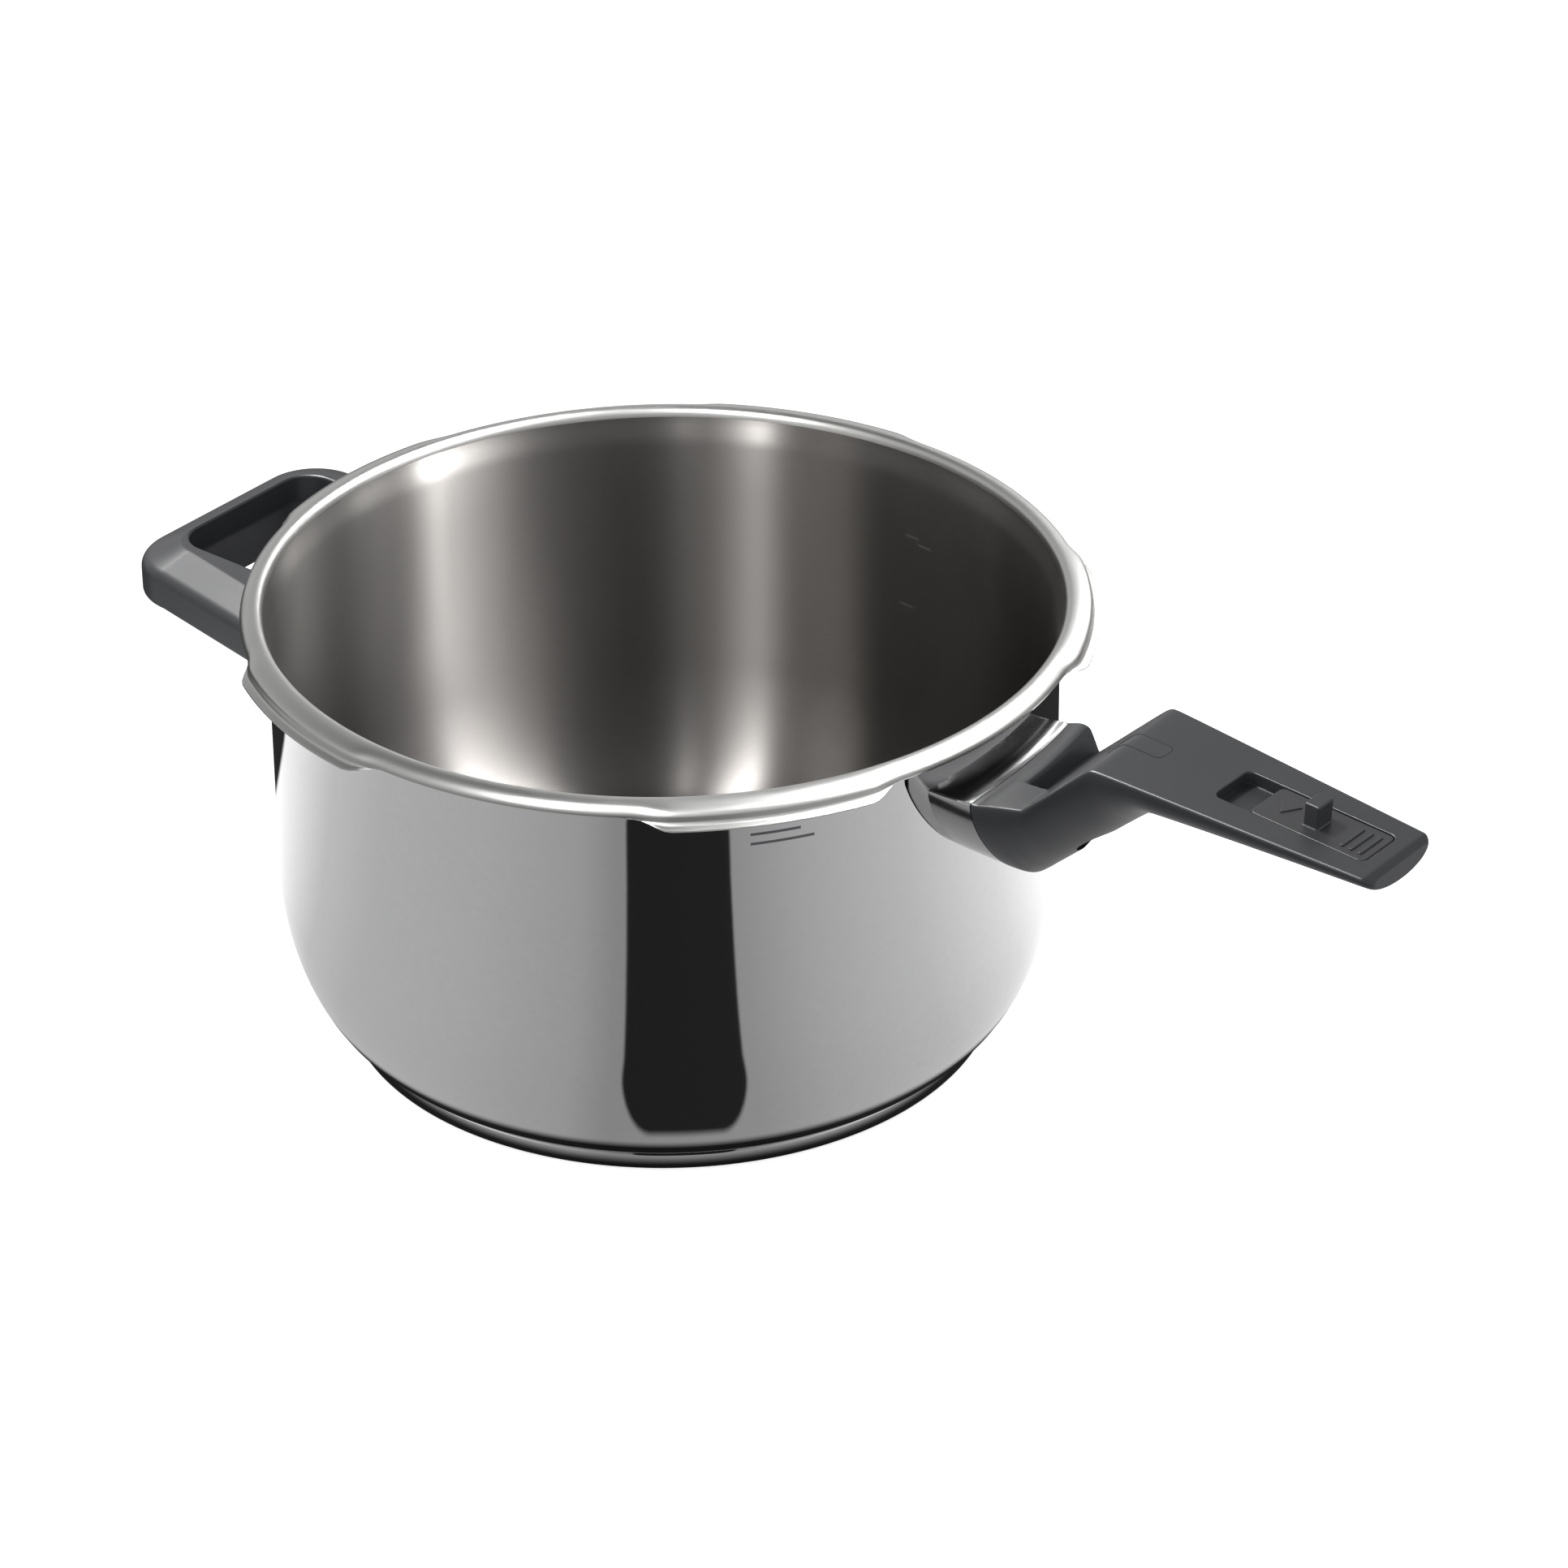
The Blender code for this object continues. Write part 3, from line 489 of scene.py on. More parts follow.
@dataclass(frozen=True)
class Finish:
    """One surface finish: its base values and how the shared effects change them."""

    name: str
    colour: tuple[float, float, float]
    colour_worn: tuple[float, float, float]
    roughness: float
    roughness_range: float
    metallic: float
    bump: float
    fineness: float = 60.0
    grain: float = 2500.0
    ground: bool = False
    anisotropy: float = 0.0
    specular: float = 0.5
    coat: float = 0.0

    def made(self, groups: dict[str, bpy.types.NodeTree]) -> bpy.types.Material:
        """Builds the material.

        Args:
            groups: The shared effects by name.

        Returns:
            The material.
        """
        material = bpy.data.materials.new(self.name)
        material.use_nodes = True
        sheet = NodeSheet(material.node_tree)
        shader = material.node_tree.nodes["Principled BSDF"]
        shader.inputs["Metallic"].default_value = self.metallic
        shader.inputs["Specular IOR Level"].default_value = self.specular
        shader.inputs["Anisotropic"].default_value = self.anisotropy
        shader.inputs["Anisotropic Rotation"].default_value = 0.25
        shader.inputs["Coat Weight"].default_value = self.coat
        place = sheet.node("ShaderNodeTexCoord").outputs["Object"]
        effect = sheet.node("ShaderNodeGroup")
        effect.node_tree = groups["grinding" if self.ground else "handling"]
        sheet.join(place, effect.inputs["Place"])
        if self.ground:
            effect.inputs["Fineness"].default_value = self.grain
            effect.inputs["Reach"].default_value = self.fineness
            fine, broad = effect.outputs["Lines"], effect.outputs["Bands"]
            tangent = sheet.node("ShaderNodeTangent", direction_type="RADIAL", axis="Z")
            sheet.join(tangent.outputs[0], shader.inputs["Tangent"])
        else:
            effect.inputs["Size"].default_value = self.fineness
            effect.inputs["Grain"].default_value = self.grain
            fine, broad = effect.outputs["Specks"], effect.outputs["Smears"]
        mix = sheet.node("ShaderNodeMix", data_type="RGBA")
        mix.inputs[6].default_value = (*self.colour, 1.0)
        mix.inputs[7].default_value = (*self.colour_worn, 1.0)
        sheet.join(sheet.math("MULTIPLY", broad, fine), mix.inputs[0])
        sheet.join(mix.outputs[2], shader.inputs["Base Color"])
        low = self.roughness - self.roughness_range
        spread = sheet.math("MULTIPLY", broad, 2 * self.roughness_range)
        sheet.join(sheet.math("ADD", spread, low), shader.inputs["Roughness"])
        bump = sheet.node("ShaderNodeBump")
        bump.inputs["Strength"].default_value = 1.0
        bump.inputs["Distance"].default_value = self.bump
        sheet.join(fine, bump.inputs["Height"])
        sheet.join(bump.outputs[0], shader.inputs["Normal"])
        return material


class Finishes:
    """All the finishes of the pan, built once."""

    def __init__(self) -> None:
        """Builds the shared effects and every finish."""
        groups = {"grinding": SharedEffects.grinding(), "handling": SharedEffects.handling()}
        steel = (0.80, 0.80, 0.81)
        worn = (0.72, 0.72, 0.72)
        rubbed = (0.055, 0.056, 0.060)
        polish = 0.0000008
        self.mirror = Finish(
            "mirror_steel", steel, worn, 0.045, 0.02, 1.0, polish, fineness=14.0, grain=400.0
        ).made(groups)
        # Painted shade: the sleeve is the pan's polished steel with a darker colour, so that the studio it
        # mirrors reads darker; its rougher polish is real.
        self.sleeve = Finish(
            "sleeve_steel_painted_dark", (0.50, 0.50, 0.505), (0.45, 0.45, 0.45), 0.15, 0.03, 1.0, polish, 14.0, 400.0
        ).made(groups)
        # Painted shade: the inside's colour is far darker than steel, standing in for the dark studio that it
        # mirrors; its ground lines and anisotropy are its real finish.
        self.inside = Finish(
            "ground_steel_painted_dark",
            (0.170, 0.163, 0.157),
            (0.140, 0.133, 0.127),
            0.34,
            0.03,
            1.0,
            0.000003,
            fineness=30.0,
            grain=6000.0,
            ground=True,
            anisotropy=0.97,
        ).made(groups)
        # Painted shade: the rolled lip is the pan's own steel with a darker colour, so that it reads as an
        # even light grey; its satin roughness is real.
        self.lip = Finish(
            "lip_steel_painted_dark", (0.40, 0.40, 0.39), (0.36, 0.36, 0.35), 0.34, 0.02, 1.0, 0.000002, 20.0, 3000.0, True
        ).made(groups)
        self.phenolic = Finish(
            "moulded_phenolic", (0.035, 0.038, 0.044), rubbed, 0.42, 0.04, 0.0, 0.00002, 45.0, 5200.0
        ).made(groups)
        self.slide = Finish(
            "moulded_slide", (0.042, 0.044, 0.048), rubbed, 0.40, 0.04, 0.0, 0.00002, 60.0, 5200.0
        ).made(groups)
        self.zinc = Finish(
            "zinc_plate", (0.60, 0.61, 0.63), (0.45, 0.44, 0.42), 0.32, 0.08, 1.0, 0.00001, 300.0, 4000.0
        ).made(groups)
        self.spring = Finish(
            "drawn_wire", (0.42, 0.42, 0.43), (0.30, 0.30, 0.30), 0.30, 0.06, 1.0, 0.000005, 300.0, 6000.0
        ).made(groups)
        self.aluminium = Finish(
            "plain_aluminium", (0.74, 0.74, 0.75), (0.62, 0.62, 0.62), 0.45, 0.06, 1.0, 0.00001, 20.0, 5000.0,
            ground=True,
        ).made(groups)
        self.etched = Finish(
            "etched_steel", (0.17, 0.17, 0.18), (0.24, 0.24, 0.25), 0.5, 0.05, 0.6, 0.000005, 200.0, 6000.0
        ).made(groups)


# ---------------------------------------------------------------- the pan


@dataclass
class Pan:
    """The drawn steel pan with its rolled lip and bayonet lugs, and its capsule base."""

    wall: float = 0.1106
    sheet: float = 0.0008
    floor: float = 0.0058
    corner_width: float = 0.0190
    corner_height: float = 0.0420
    corner_power: float = 1.8
    lugs: int = 5
    first_lug: float = math.radians(36.0)
    lug_half: float = math.radians(15.5)
    lug_ramp: float = math.radians(5.0)
    base_radius: float = 0.0936
    base_top: float = 0.0055
    base_edge: float = 0.0022
    lip_from: float = 0.1245
    steps: int = 360

    def lug_share(self, angle: float) -> float:
        """How far the lip is a lug.

        Args:
            angle: Direction from the pan's axis.

        Returns:
            0 on the plain lip and 1 on a lug.
        """
        pitch = 2 * math.pi / self.lugs
        away = abs((angle - self.first_lug + pitch / 2) % pitch - pitch / 2)
        return 1 - smooth_step(away, self.lug_half - self.lug_ramp / 2, self.lug_half + self.lug_ramp / 2)

    def corner(self, shrink: float, steps: int = 14) -> list[Point2]:
        """The rounded lower corner from the floor's edge up to the wall.

        Args:
            shrink: How far inside the outer skin it runs.
            steps: Number of steps.

        Returns:
            The corner's points.
        """
        points = []
        for i in range(steps + 1):
            angle = math.pi / 2 * (1 - i / steps)
            across = self.corner_width * max(math.cos(angle), 0.0) ** (2 / self.corner_power)
            down = self.corner_height * (1 - math.sin(angle) ** (2 / self.corner_power))
            points.append((self.wall - self.corner_width + across, self.floor + down))
        if shrink == 0.0:
            return points
        inner = []
        for i, (radius, height) in enumerate(points):
            before = points[max(i - 1, 0)]
            after = points[min(i + 1, steps)]
            run = Vector((after[0] - before[0], after[1] - before[1])).normalized()
            inner.append((radius - run.y * shrink, height + run.x * shrink))
        inner[0] = (points[0][0], self.floor + shrink)
        return inner

    def lip_pairs(self) -> list[tuple[Point2, Point2]]:
        """The lip's section from inside to underneath.

        Returns:
            Each point as it is on the plain rim and on a lug.
        """
        plain_and_lug = (
            (0.1098, 0.1200, 0.1098, 0.1200),
            (0.1102, 0.1235, 0.1102, 0.1235),
            (0.1112, 0.1262, 0.1112, 0.1262),
            (0.1117, 0.1288, 0.1117, 0.1288),
            (0.1119, 0.1299, 0.1119, 0.1299),
            (0.1123, 0.1308, 0.1123, 0.1308),
            (0.1131, 0.1314, 0.1131, 0.1314),
            (0.1142, 0.1315, 0.1143, 0.1315),
            (0.1156, 0.1311, 0.1160, 0.1312),
            (0.1167, 0.1305, 0.1176, 0.1306),
            (0.1174, 0.1298, 0.1187, 0.1300),
            (0.1178, 0.1290, 0.1193, 0.1294),
            (0.1180, 0.1282, 0.1195, 0.1287),
            (0.1180, 0.1278, 0.1196, 0.1276),
            (0.1179, 0.1275, 0.1198, 0.1268),
            (0.1178, 0.1273, 0.1203, 0.1264),
            (0.1177, 0.1272, 0.1212, 0.1262),
            (0.1176, 0.1271, 0.1217, 0.1259),
            (0.1175, 0.1271, 0.1218, 0.1255),
            (0.1173, 0.1272, 0.1214, 0.1252),
            (0.1171, 0.1275, 0.1197, 0.1255),
            (0.1169, 0.1282, 0.1188, 0.1263),
            (0.1166, 0.1290, 0.1186, 0.1280),
            (0.1158, 0.1298, 0.1178, 0.1295),
            (0.1146, 0.1303, 0.1152, 0.1303),
            (0.1135, 0.1303, 0.1137, 0.1303),
            (0.1129, 0.1296, 0.1129, 0.1296),
            (0.1125, 0.1280, 0.1125, 0.1280),
            (0.1121, 0.1262, 0.1121, 0.1262),
            (0.1112, 0.1236, 0.1112, 0.1236),
            (0.1106, 0.1205, 0.1106, 0.1205),
        )
        return [((a, b), (c, d)) for a, b, c, d in plain_and_lug]

    def shell(self) -> bmesh.types.BMesh:
        """The whole sheet: inside, lip, outside and underside.

        Returns:
            The closed sheet.
        """
        inner = self.corner(self.sheet)
        pairs = self.lip_pairs()
        profile: list[Point2] = [(0.0, self.floor + self.sheet)]
        profile += [(radius, self.floor + self.sheet) for radius in (0.03, 0.06, 0.08, 0.088)]
        profile += inner
        profile += [(self.wall - self.sheet, height) for height in (0.065, 0.085, 0.105)]
        profile += [plain for plain, _ in pairs]
        profile += [(self.wall, height) for height in (0.105, 0.085, 0.065)]
        profile += self.corner(0.0)[::-1]
        profile += [(0.06, self.floor), (0.0, self.floor)]
        bm = turned(profile, self.steps)
        for vert in bm.verts:
            if vert.co.z < self.lip_from:
                continue
            radius = math.hypot(vert.co.x, vert.co.y)
            angle = math.atan2(vert.co.y, vert.co.x)
            height = vert.co.z
            plain, lug = min(pairs, key=lambda pair: math.dist(pair[0], (radius, height)))
            share = self.lug_share(angle)
            new_radius = plain[0] + (lug[0] - plain[0]) * share
            new_height = plain[1] + (lug[1] - plain[1]) * share
            vert.co = Vector((new_radius * math.cos(angle), new_radius * math.sin(angle), new_height))
        self.paint_regions(bm)
        return bm

    def paint_regions(self, bm: bmesh.types.BMesh) -> None:
        """Sets each face to the outside (0), the inside (1) or the lip (2).

        Args:
            bm: The pan's sheet.
        """
        bm.normal_update()
        for face in bm.faces:
            middle = face.calc_center_median()
            radius = math.hypot(middle.x, middle.y)
            outward = face.normal.x * middle.x + face.normal.y * middle.y
            if middle.z > 0.1293 or (radius > 0.1160 and face.normal.z > -0.3):
                face.material_index = 2
            elif outward < 0 or face.normal.z > 0.7:
                face.material_index = 1

    def base(self) -> bmesh.types.BMesh:
        """The pressed capsule round the core, with a shallow ring in its underside.

        Returns:
            The closed capsule.
        """
        edge = self.base_edge
        profile: list[Point2] = [(0.0, 0.0004), (0.018, 0.0004), (0.0195, 0.0), (0.070, 0.0)]
        profile += arc((self.base_radius - edge, edge), edge, -90, 0, 6)
        profile += [(self.base_radius, self.base_top - 0.0004), (self.base_radius - 0.0004, self.base_top)]
        profile += [(0.0920, self.base_top), (0.0920, 0.0018), (0.0910, 0.0009), (0.0, 0.0009)]
        return turned(profile, self.steps)

    def on_wall(self, angle: float, height: float, proud: float, inside: bool) -> Vector:
        """A point on the wall's outer or inner side."""
        radius = self.wall - self.sheet - proud if inside else self.wall + proud
        return Vector((radius * math.cos(angle), radius * math.sin(angle), height))

    def marks(self, finish: bpy.types.Material) -> bpy.types.Object:
        """Etched level lines inside and two plain bars outside.

        Args:
            finish: The etched finish.

        Returns:
            The marks.
        """
        bars = bmesh.new()
        for angle, height, half, inside in (
            (88.9, 0.1031, 1.3, True),
            (86.4, 0.1012, 1.3, True),
            (90.0, 0.0799, 1.3, True),
            (-34.5, 0.1165, 3.6, False),
            (-33.5, 0.1136, 4.6, False),
        ):
            self.bar(bars, math.radians(angle), height, math.radians(half), inside)
        return finished(bars, "etched_lines", [finish])

    def bar(self, bm: bmesh.types.BMesh, angle: float, height: float, half: float, inside: bool) -> None:
        """Adds one thin raised bar that follows the wall.

        Args:
            bm: The mesh to add it to.
            angle: Direction of its middle from the pan's axis.
            height: Its height over the ground.
            half: Half the angle that it covers.
            inside: Whether it is on the wall's inner side.
        """
        columns = 9
        thick = 0.0004
        proud = 0.00003
        sunk = 0.00001
        levels = ((-thick, 0.0), (-thick, proud), (thick, proud), (thick, 0.0), (-thick, 0.0))

        def place(row: int, column: int) -> Vector:
            """A corner of the bar's outline, on or just above the wall.

            Args:
                row: Which corner of the bar's section.
                column: Which step along the bar.

            Returns:
                The corner's place.
            """
            rise, off = levels[row]
            turn = angle + half * (2 * column / (columns - 1) - 1)
            return self.on_wall(turn, height + rise, off - sunk, inside)

        piece = shaped_grid(5, columns, place)
        edges = [edge for edge in piece.edges if edge.is_boundary]
        bmesh.ops.holes_fill(piece, edges=edges, sides=0)
        bmesh.ops.recalc_face_normals(piece, faces=piece.faces[:])
        mesh = bpy.data.meshes.new("bar")
        piece.to_mesh(mesh)
        piece.free()
        bm.from_mesh(mesh)
        bpy.data.meshes.remove(mesh)

    def build(self, finishes: Finishes, nodes: dict[str, bpy.types.Object]) -> None:
        """Builds and dresses the pan.

        Args:
            finishes: The finishes to use.
            nodes: The frame's nodes by name.
        """
        body = finished(self.shell(), "pan_body", [finishes.mirror, finishes.inside, finishes.lip], 40)
        stand_for(body, Body.PAN, Slot.STEEL, "pan_shell")
        base = finished(self.base(), "base_cap", [finishes.mirror])
        stand_for(base, Body.PAN, Slot.STEEL, "base_capsule")
        marks = self.marks(finishes.etched)
        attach(marks, Body.PAN.value)
        LOG.info("made %s", marks.name)
        dress(nodes["base_core"], finishes.aluminium)


# ---------------------------------------------------------------- the long handle


@dataclass
class HandleForm:
    """The outer form that the sleeve, the handle and its small parts share.

    The root is turned about the pan's axis. Its deck rises from the near side (-Y) to the far side, where it
    ends in a rib with a groove behind it.
    """

    root_x: float = 0.1134
    root_top: float = 0.1187
    root_under: float = 0.0903
    under_fall: float = 0.05
    boundary: float = 0.1268
    bow: float = 0.0021
    end: float = 0.2472
    half_at: float = 0.1122
    root_half: float = 0.0231
    taper: float = 0.0635
    deck_power: float = 0.75
    rib_outer: float = 0.1338
    rib_fall: float = 2.1
    rib_start: tuple[float, float] = (math.radians(-3.9), math.radians(-3.3))
    rib_round: float = 0.0006
    shoulder_x: float = 0.1600
    shoulder_z: float = 0.1420
    grip_origin: float = 0.1615
    droop: float = math.radians(3.43)
    grip_tilt: float = 0.0002
    slope: float = math.radians(43.6)
    slope_tilt: float = 0.0012
    slope_top: Point2 = (0.1385, 0.1205)
    under_slope: float = math.radians(42.5)
    slope_under: Point2 = (0.1402, 0.0968)
    end_depth: float = 0.0062
    depth_taper: float = 0.100
    end_corner: float = 0.0030
    edge: float = 0.0008
    top_points: int = 121
    corner_points: int = 5
    belly_points: int = 44

    def half(self, x: float) -> float:
        """Half width of the top at x."""
        return self.root_half - self.taper * (x - self.half_at)

    def grip_top(self, x: float) -> float:
        """Height of the grip's top plane."""
        return self.shoulder_z - math.tan(self.droop) * (x - self.shoulder_x)

    def deck(self, radius: float, across: float) -> float:
        """Height of the deck.

        Args:
            radius: Distance from the pan's axis.
            across: Place between the near edge, -1, and the far edge, 1.

        Returns:
            The height.
        """
        ripple = 0.0002 * math.sin((radius - self.root_x) * 220)
        near = 0.1183 + 0.25 * max(radius - 0.1285, 0.0) - ripple
        rise = 0.0021 * smooth_step(radius, 0.1245, 0.1320)
        far = 0.1216 + 0.0019 * smooth_step(radius, 0.1140, 0.1250) + rise
        share = min(max((across + 1) / 2, 0.0), 1.0)
        return near + (far - near) * share**self.deck_power

    def top(self, x: float, y: float, across: float) -> float:
        """Height of the top.

        Args:
            x: Place along the handle.
            y: Place across it.
            across: The same as a share of the half width, from -1 to 1.

        Returns:
            The height.
        """
        radius = math.hypot(x, y)
        over = radius - self.rib_outer
        drop = self.rib_fall * (over + math.sqrt(over**2 + self.rib_round**2)) / 2
        deck = self.deck(radius, across) - drop * smooth_step(math.atan2(y, x), *self.rib_start)
        rise = self.slope_top[1] + math.tan(self.slope) * (x - self.slope_top[0]) + self.slope_tilt * across
        return smooth_min(smooth_max(deck, rise, 0.0005), self.grip_top(x) + self.grip_tilt * across, 0.0012)

    def middle_top(self, x: float) -> float:
        """Height of the top along its middle."""
        return self.top(x, 0.0, 0.0)

    def under(self, x: float) -> float:
        """Height of the underside's keel.

        Args:
            x: Place along the handle.

        Returns:
            The height.
        """
        root = self.root_under - self.under_fall * (x - self.half_at)
        rise = self.slope_under[1] + math.tan(self.under_slope) * (x - self.slope_under[0])
        grip = self.grip_top(x) - self.end_depth - self.depth_taper * (self.end - x)
        return smooth_min(smooth_max(root, rise, 0.0015), grip, 0.0030)

    def power(self, x: float) -> float:
        """How full the belly is: low is a keel and 2 is half an ellipse."""
        return 1.55 + 0.45 * smooth_step(x, 0.145, 0.185)

    def section(self, x: float, inset: float = 0.0) -> list[Vector]:
        """The outline at x: the top from +Y to -Y, a corner, the belly and a corner.

        Args:
            x: Where the section is cut. At the root it leans back towards its sides.
            inset: How far it is drawn inwards.

        Returns:
            The points, always the same number.
        """
        full = self.half(x)
        lean = self.bow * (1 - smooth_step(x, self.boundary + 2 * GAP, 0.1420))
        under = self.under(x) + inset
        edge = self.edge
        corner = 0.0
        if x > self.end - self.end_corner:
            into = x - (self.end - self.end_corner)
            corner = self.end_corner - math.sqrt(max(self.end_corner**2 - into**2, 0.0))
        chamfer = 0.0010 * smooth_step(x, self.end - 0.0024, self.end)
        width = full - corner - inset
        under += 0.10 * corner
        flat = width - edge

        def put(y: float, z: float) -> Vector:
            """A point of the section, leaned back."""
            return Vector((x - lean * (y / full) ** 2, y, z))

        def top(y: float) -> float:
            """Height of the top at y."""
            return self.top(x - lean * (y / full) ** 2, y, y / width) - chamfer - inset

        last = self.top_points - 1
        points = [put(flat * (1 - 2 * i / last), top(flat * (1 - 2 * i / last))) for i in range(last + 1)]
        near, far = top(-flat) - edge, top(flat) - edge
        steps = self.corner_points
        for i in range(1, steps + 1):
            angle = math.pi / 2 * i / steps
            points.append(put(-flat - edge * math.sin(angle), near + edge * math.cos(angle)))
        power = self.power(x)
        for i in range(1, self.belly_points):
            angle = math.pi * i / self.belly_points
            cosine = math.cos(angle)
            across = math.copysign(abs(cosine) ** (2 / power), -cosine)
            side = near + (far - near) * (across + 1) / 2
            points.append(put(width * across, side - (side - under) * math.sin(angle) ** (2 / power)))
        for i in range(steps):
            angle = math.pi / 2 * (1 - i / steps)
            points.append(put(flat + edge * math.sin(angle), far + edge * math.cos(angle)))
        return points

    def grip_matrix(self) -> Matrix:
        """From the grip's frame, along and out of its top face, to the pan's frame."""
        turn = Matrix.Rotation(self.droop, 4, "Y")
        return Matrix.Translation((self.grip_origin, 0, self.grip_top(self.grip_origin))) @ turn


@dataclass
class Guard:
    """The flame guard: a flange on the wall and a sleeve up to the handle."""

    form: HandleForm
    sheet: float = 0.0009
    flange_half: float = 0.0282
    flange_top: float = 0.1262
    flange_depth: float = 0.0352
    wall: float = 0.1108
    neck_z: float = 0.1195
    neck_height: float = 0.0092
    neck_flare: float = 0.0020

    def neck_radius(self, height: float) -> float:
        """Radius of the outer wall, which widens below the lip.

        Args:
            height: Where on the wall.

        Returns:
            The radius.
        """
        over = max(height - self.neck_z, 0.0)
        return self.wall + self.neck_flare * min(over / self.neck_height, 1.0) ** 1.3

    def on_wall(self, points: Iterable[Vector], off: float) -> list[Vector]:
        """The points moved in towards the wall.

        Args:
            points: The points.
            off: How far from the wall they stay.

        Returns:
            The moved points.
        """
        ring = []
        for point in points:
            radius = self.neck_radius(point.z) + off
            ring.append(Vector((math.sqrt(radius**2 - point.y**2), point.y, point.z)))
        return ring

    def flange_edge(self) -> list[Vector]:
        """The flange's outline, before it is moved to the wall.

        Returns:
            The outline's points.
        """
        form = self.form
        edge = []
        for point in form.section(form.root_x):
            share = max((form.root_top - point.z) / (form.root_top - form.root_under), 0.0)
            y = self.flange_half * point.y / form.half(form.root_x)
            edge.append(Vector((point.x, y, self.flange_top - self.flange_depth * share)))
        return edge

    def shell(self) -> bmesh.types.BMesh:
        """Flange, sleeve and the inside of the sleeve as one skin.

        Returns:
            The closed skin.
        """
        form = self.form
        edge = self.flange_edge()
        lifted = self.on_wall(edge, GAP + 0.0005)
        root = form.section(form.root_x)
        rings = [self.on_wall(edge, GAP), lifted]
        for share in (0.12, 0.3, 0.5, 0.7, 0.85, 0.95):
            rings.append([a.lerp(b, share) for a, b in zip(lifted, root)])
        steps = 14
        for i in range(steps + 1):
            x = form.root_x + (form.boundary - form.root_x) * i / steps
            rings.append(form.section(x))
        middle = (form.root_x + form.boundary) / 2
        rings.append(form.section(form.boundary, self.sheet))
        rings.append(form.section(middle, self.sheet))
        rings.append(self.on_wall(form.section(form.root_x, self.sheet), GAP))
        return skin(rings, joined=True)

    def build(self, finishes: Finishes) -> None:
        """Builds and dresses the guard."""
        piece = finished(self.shell(), "guard_sleeve", [finishes.sleeve], 38)
        stand_for(piece, Body.PAN, Slot.STEEL, "flame_guard")


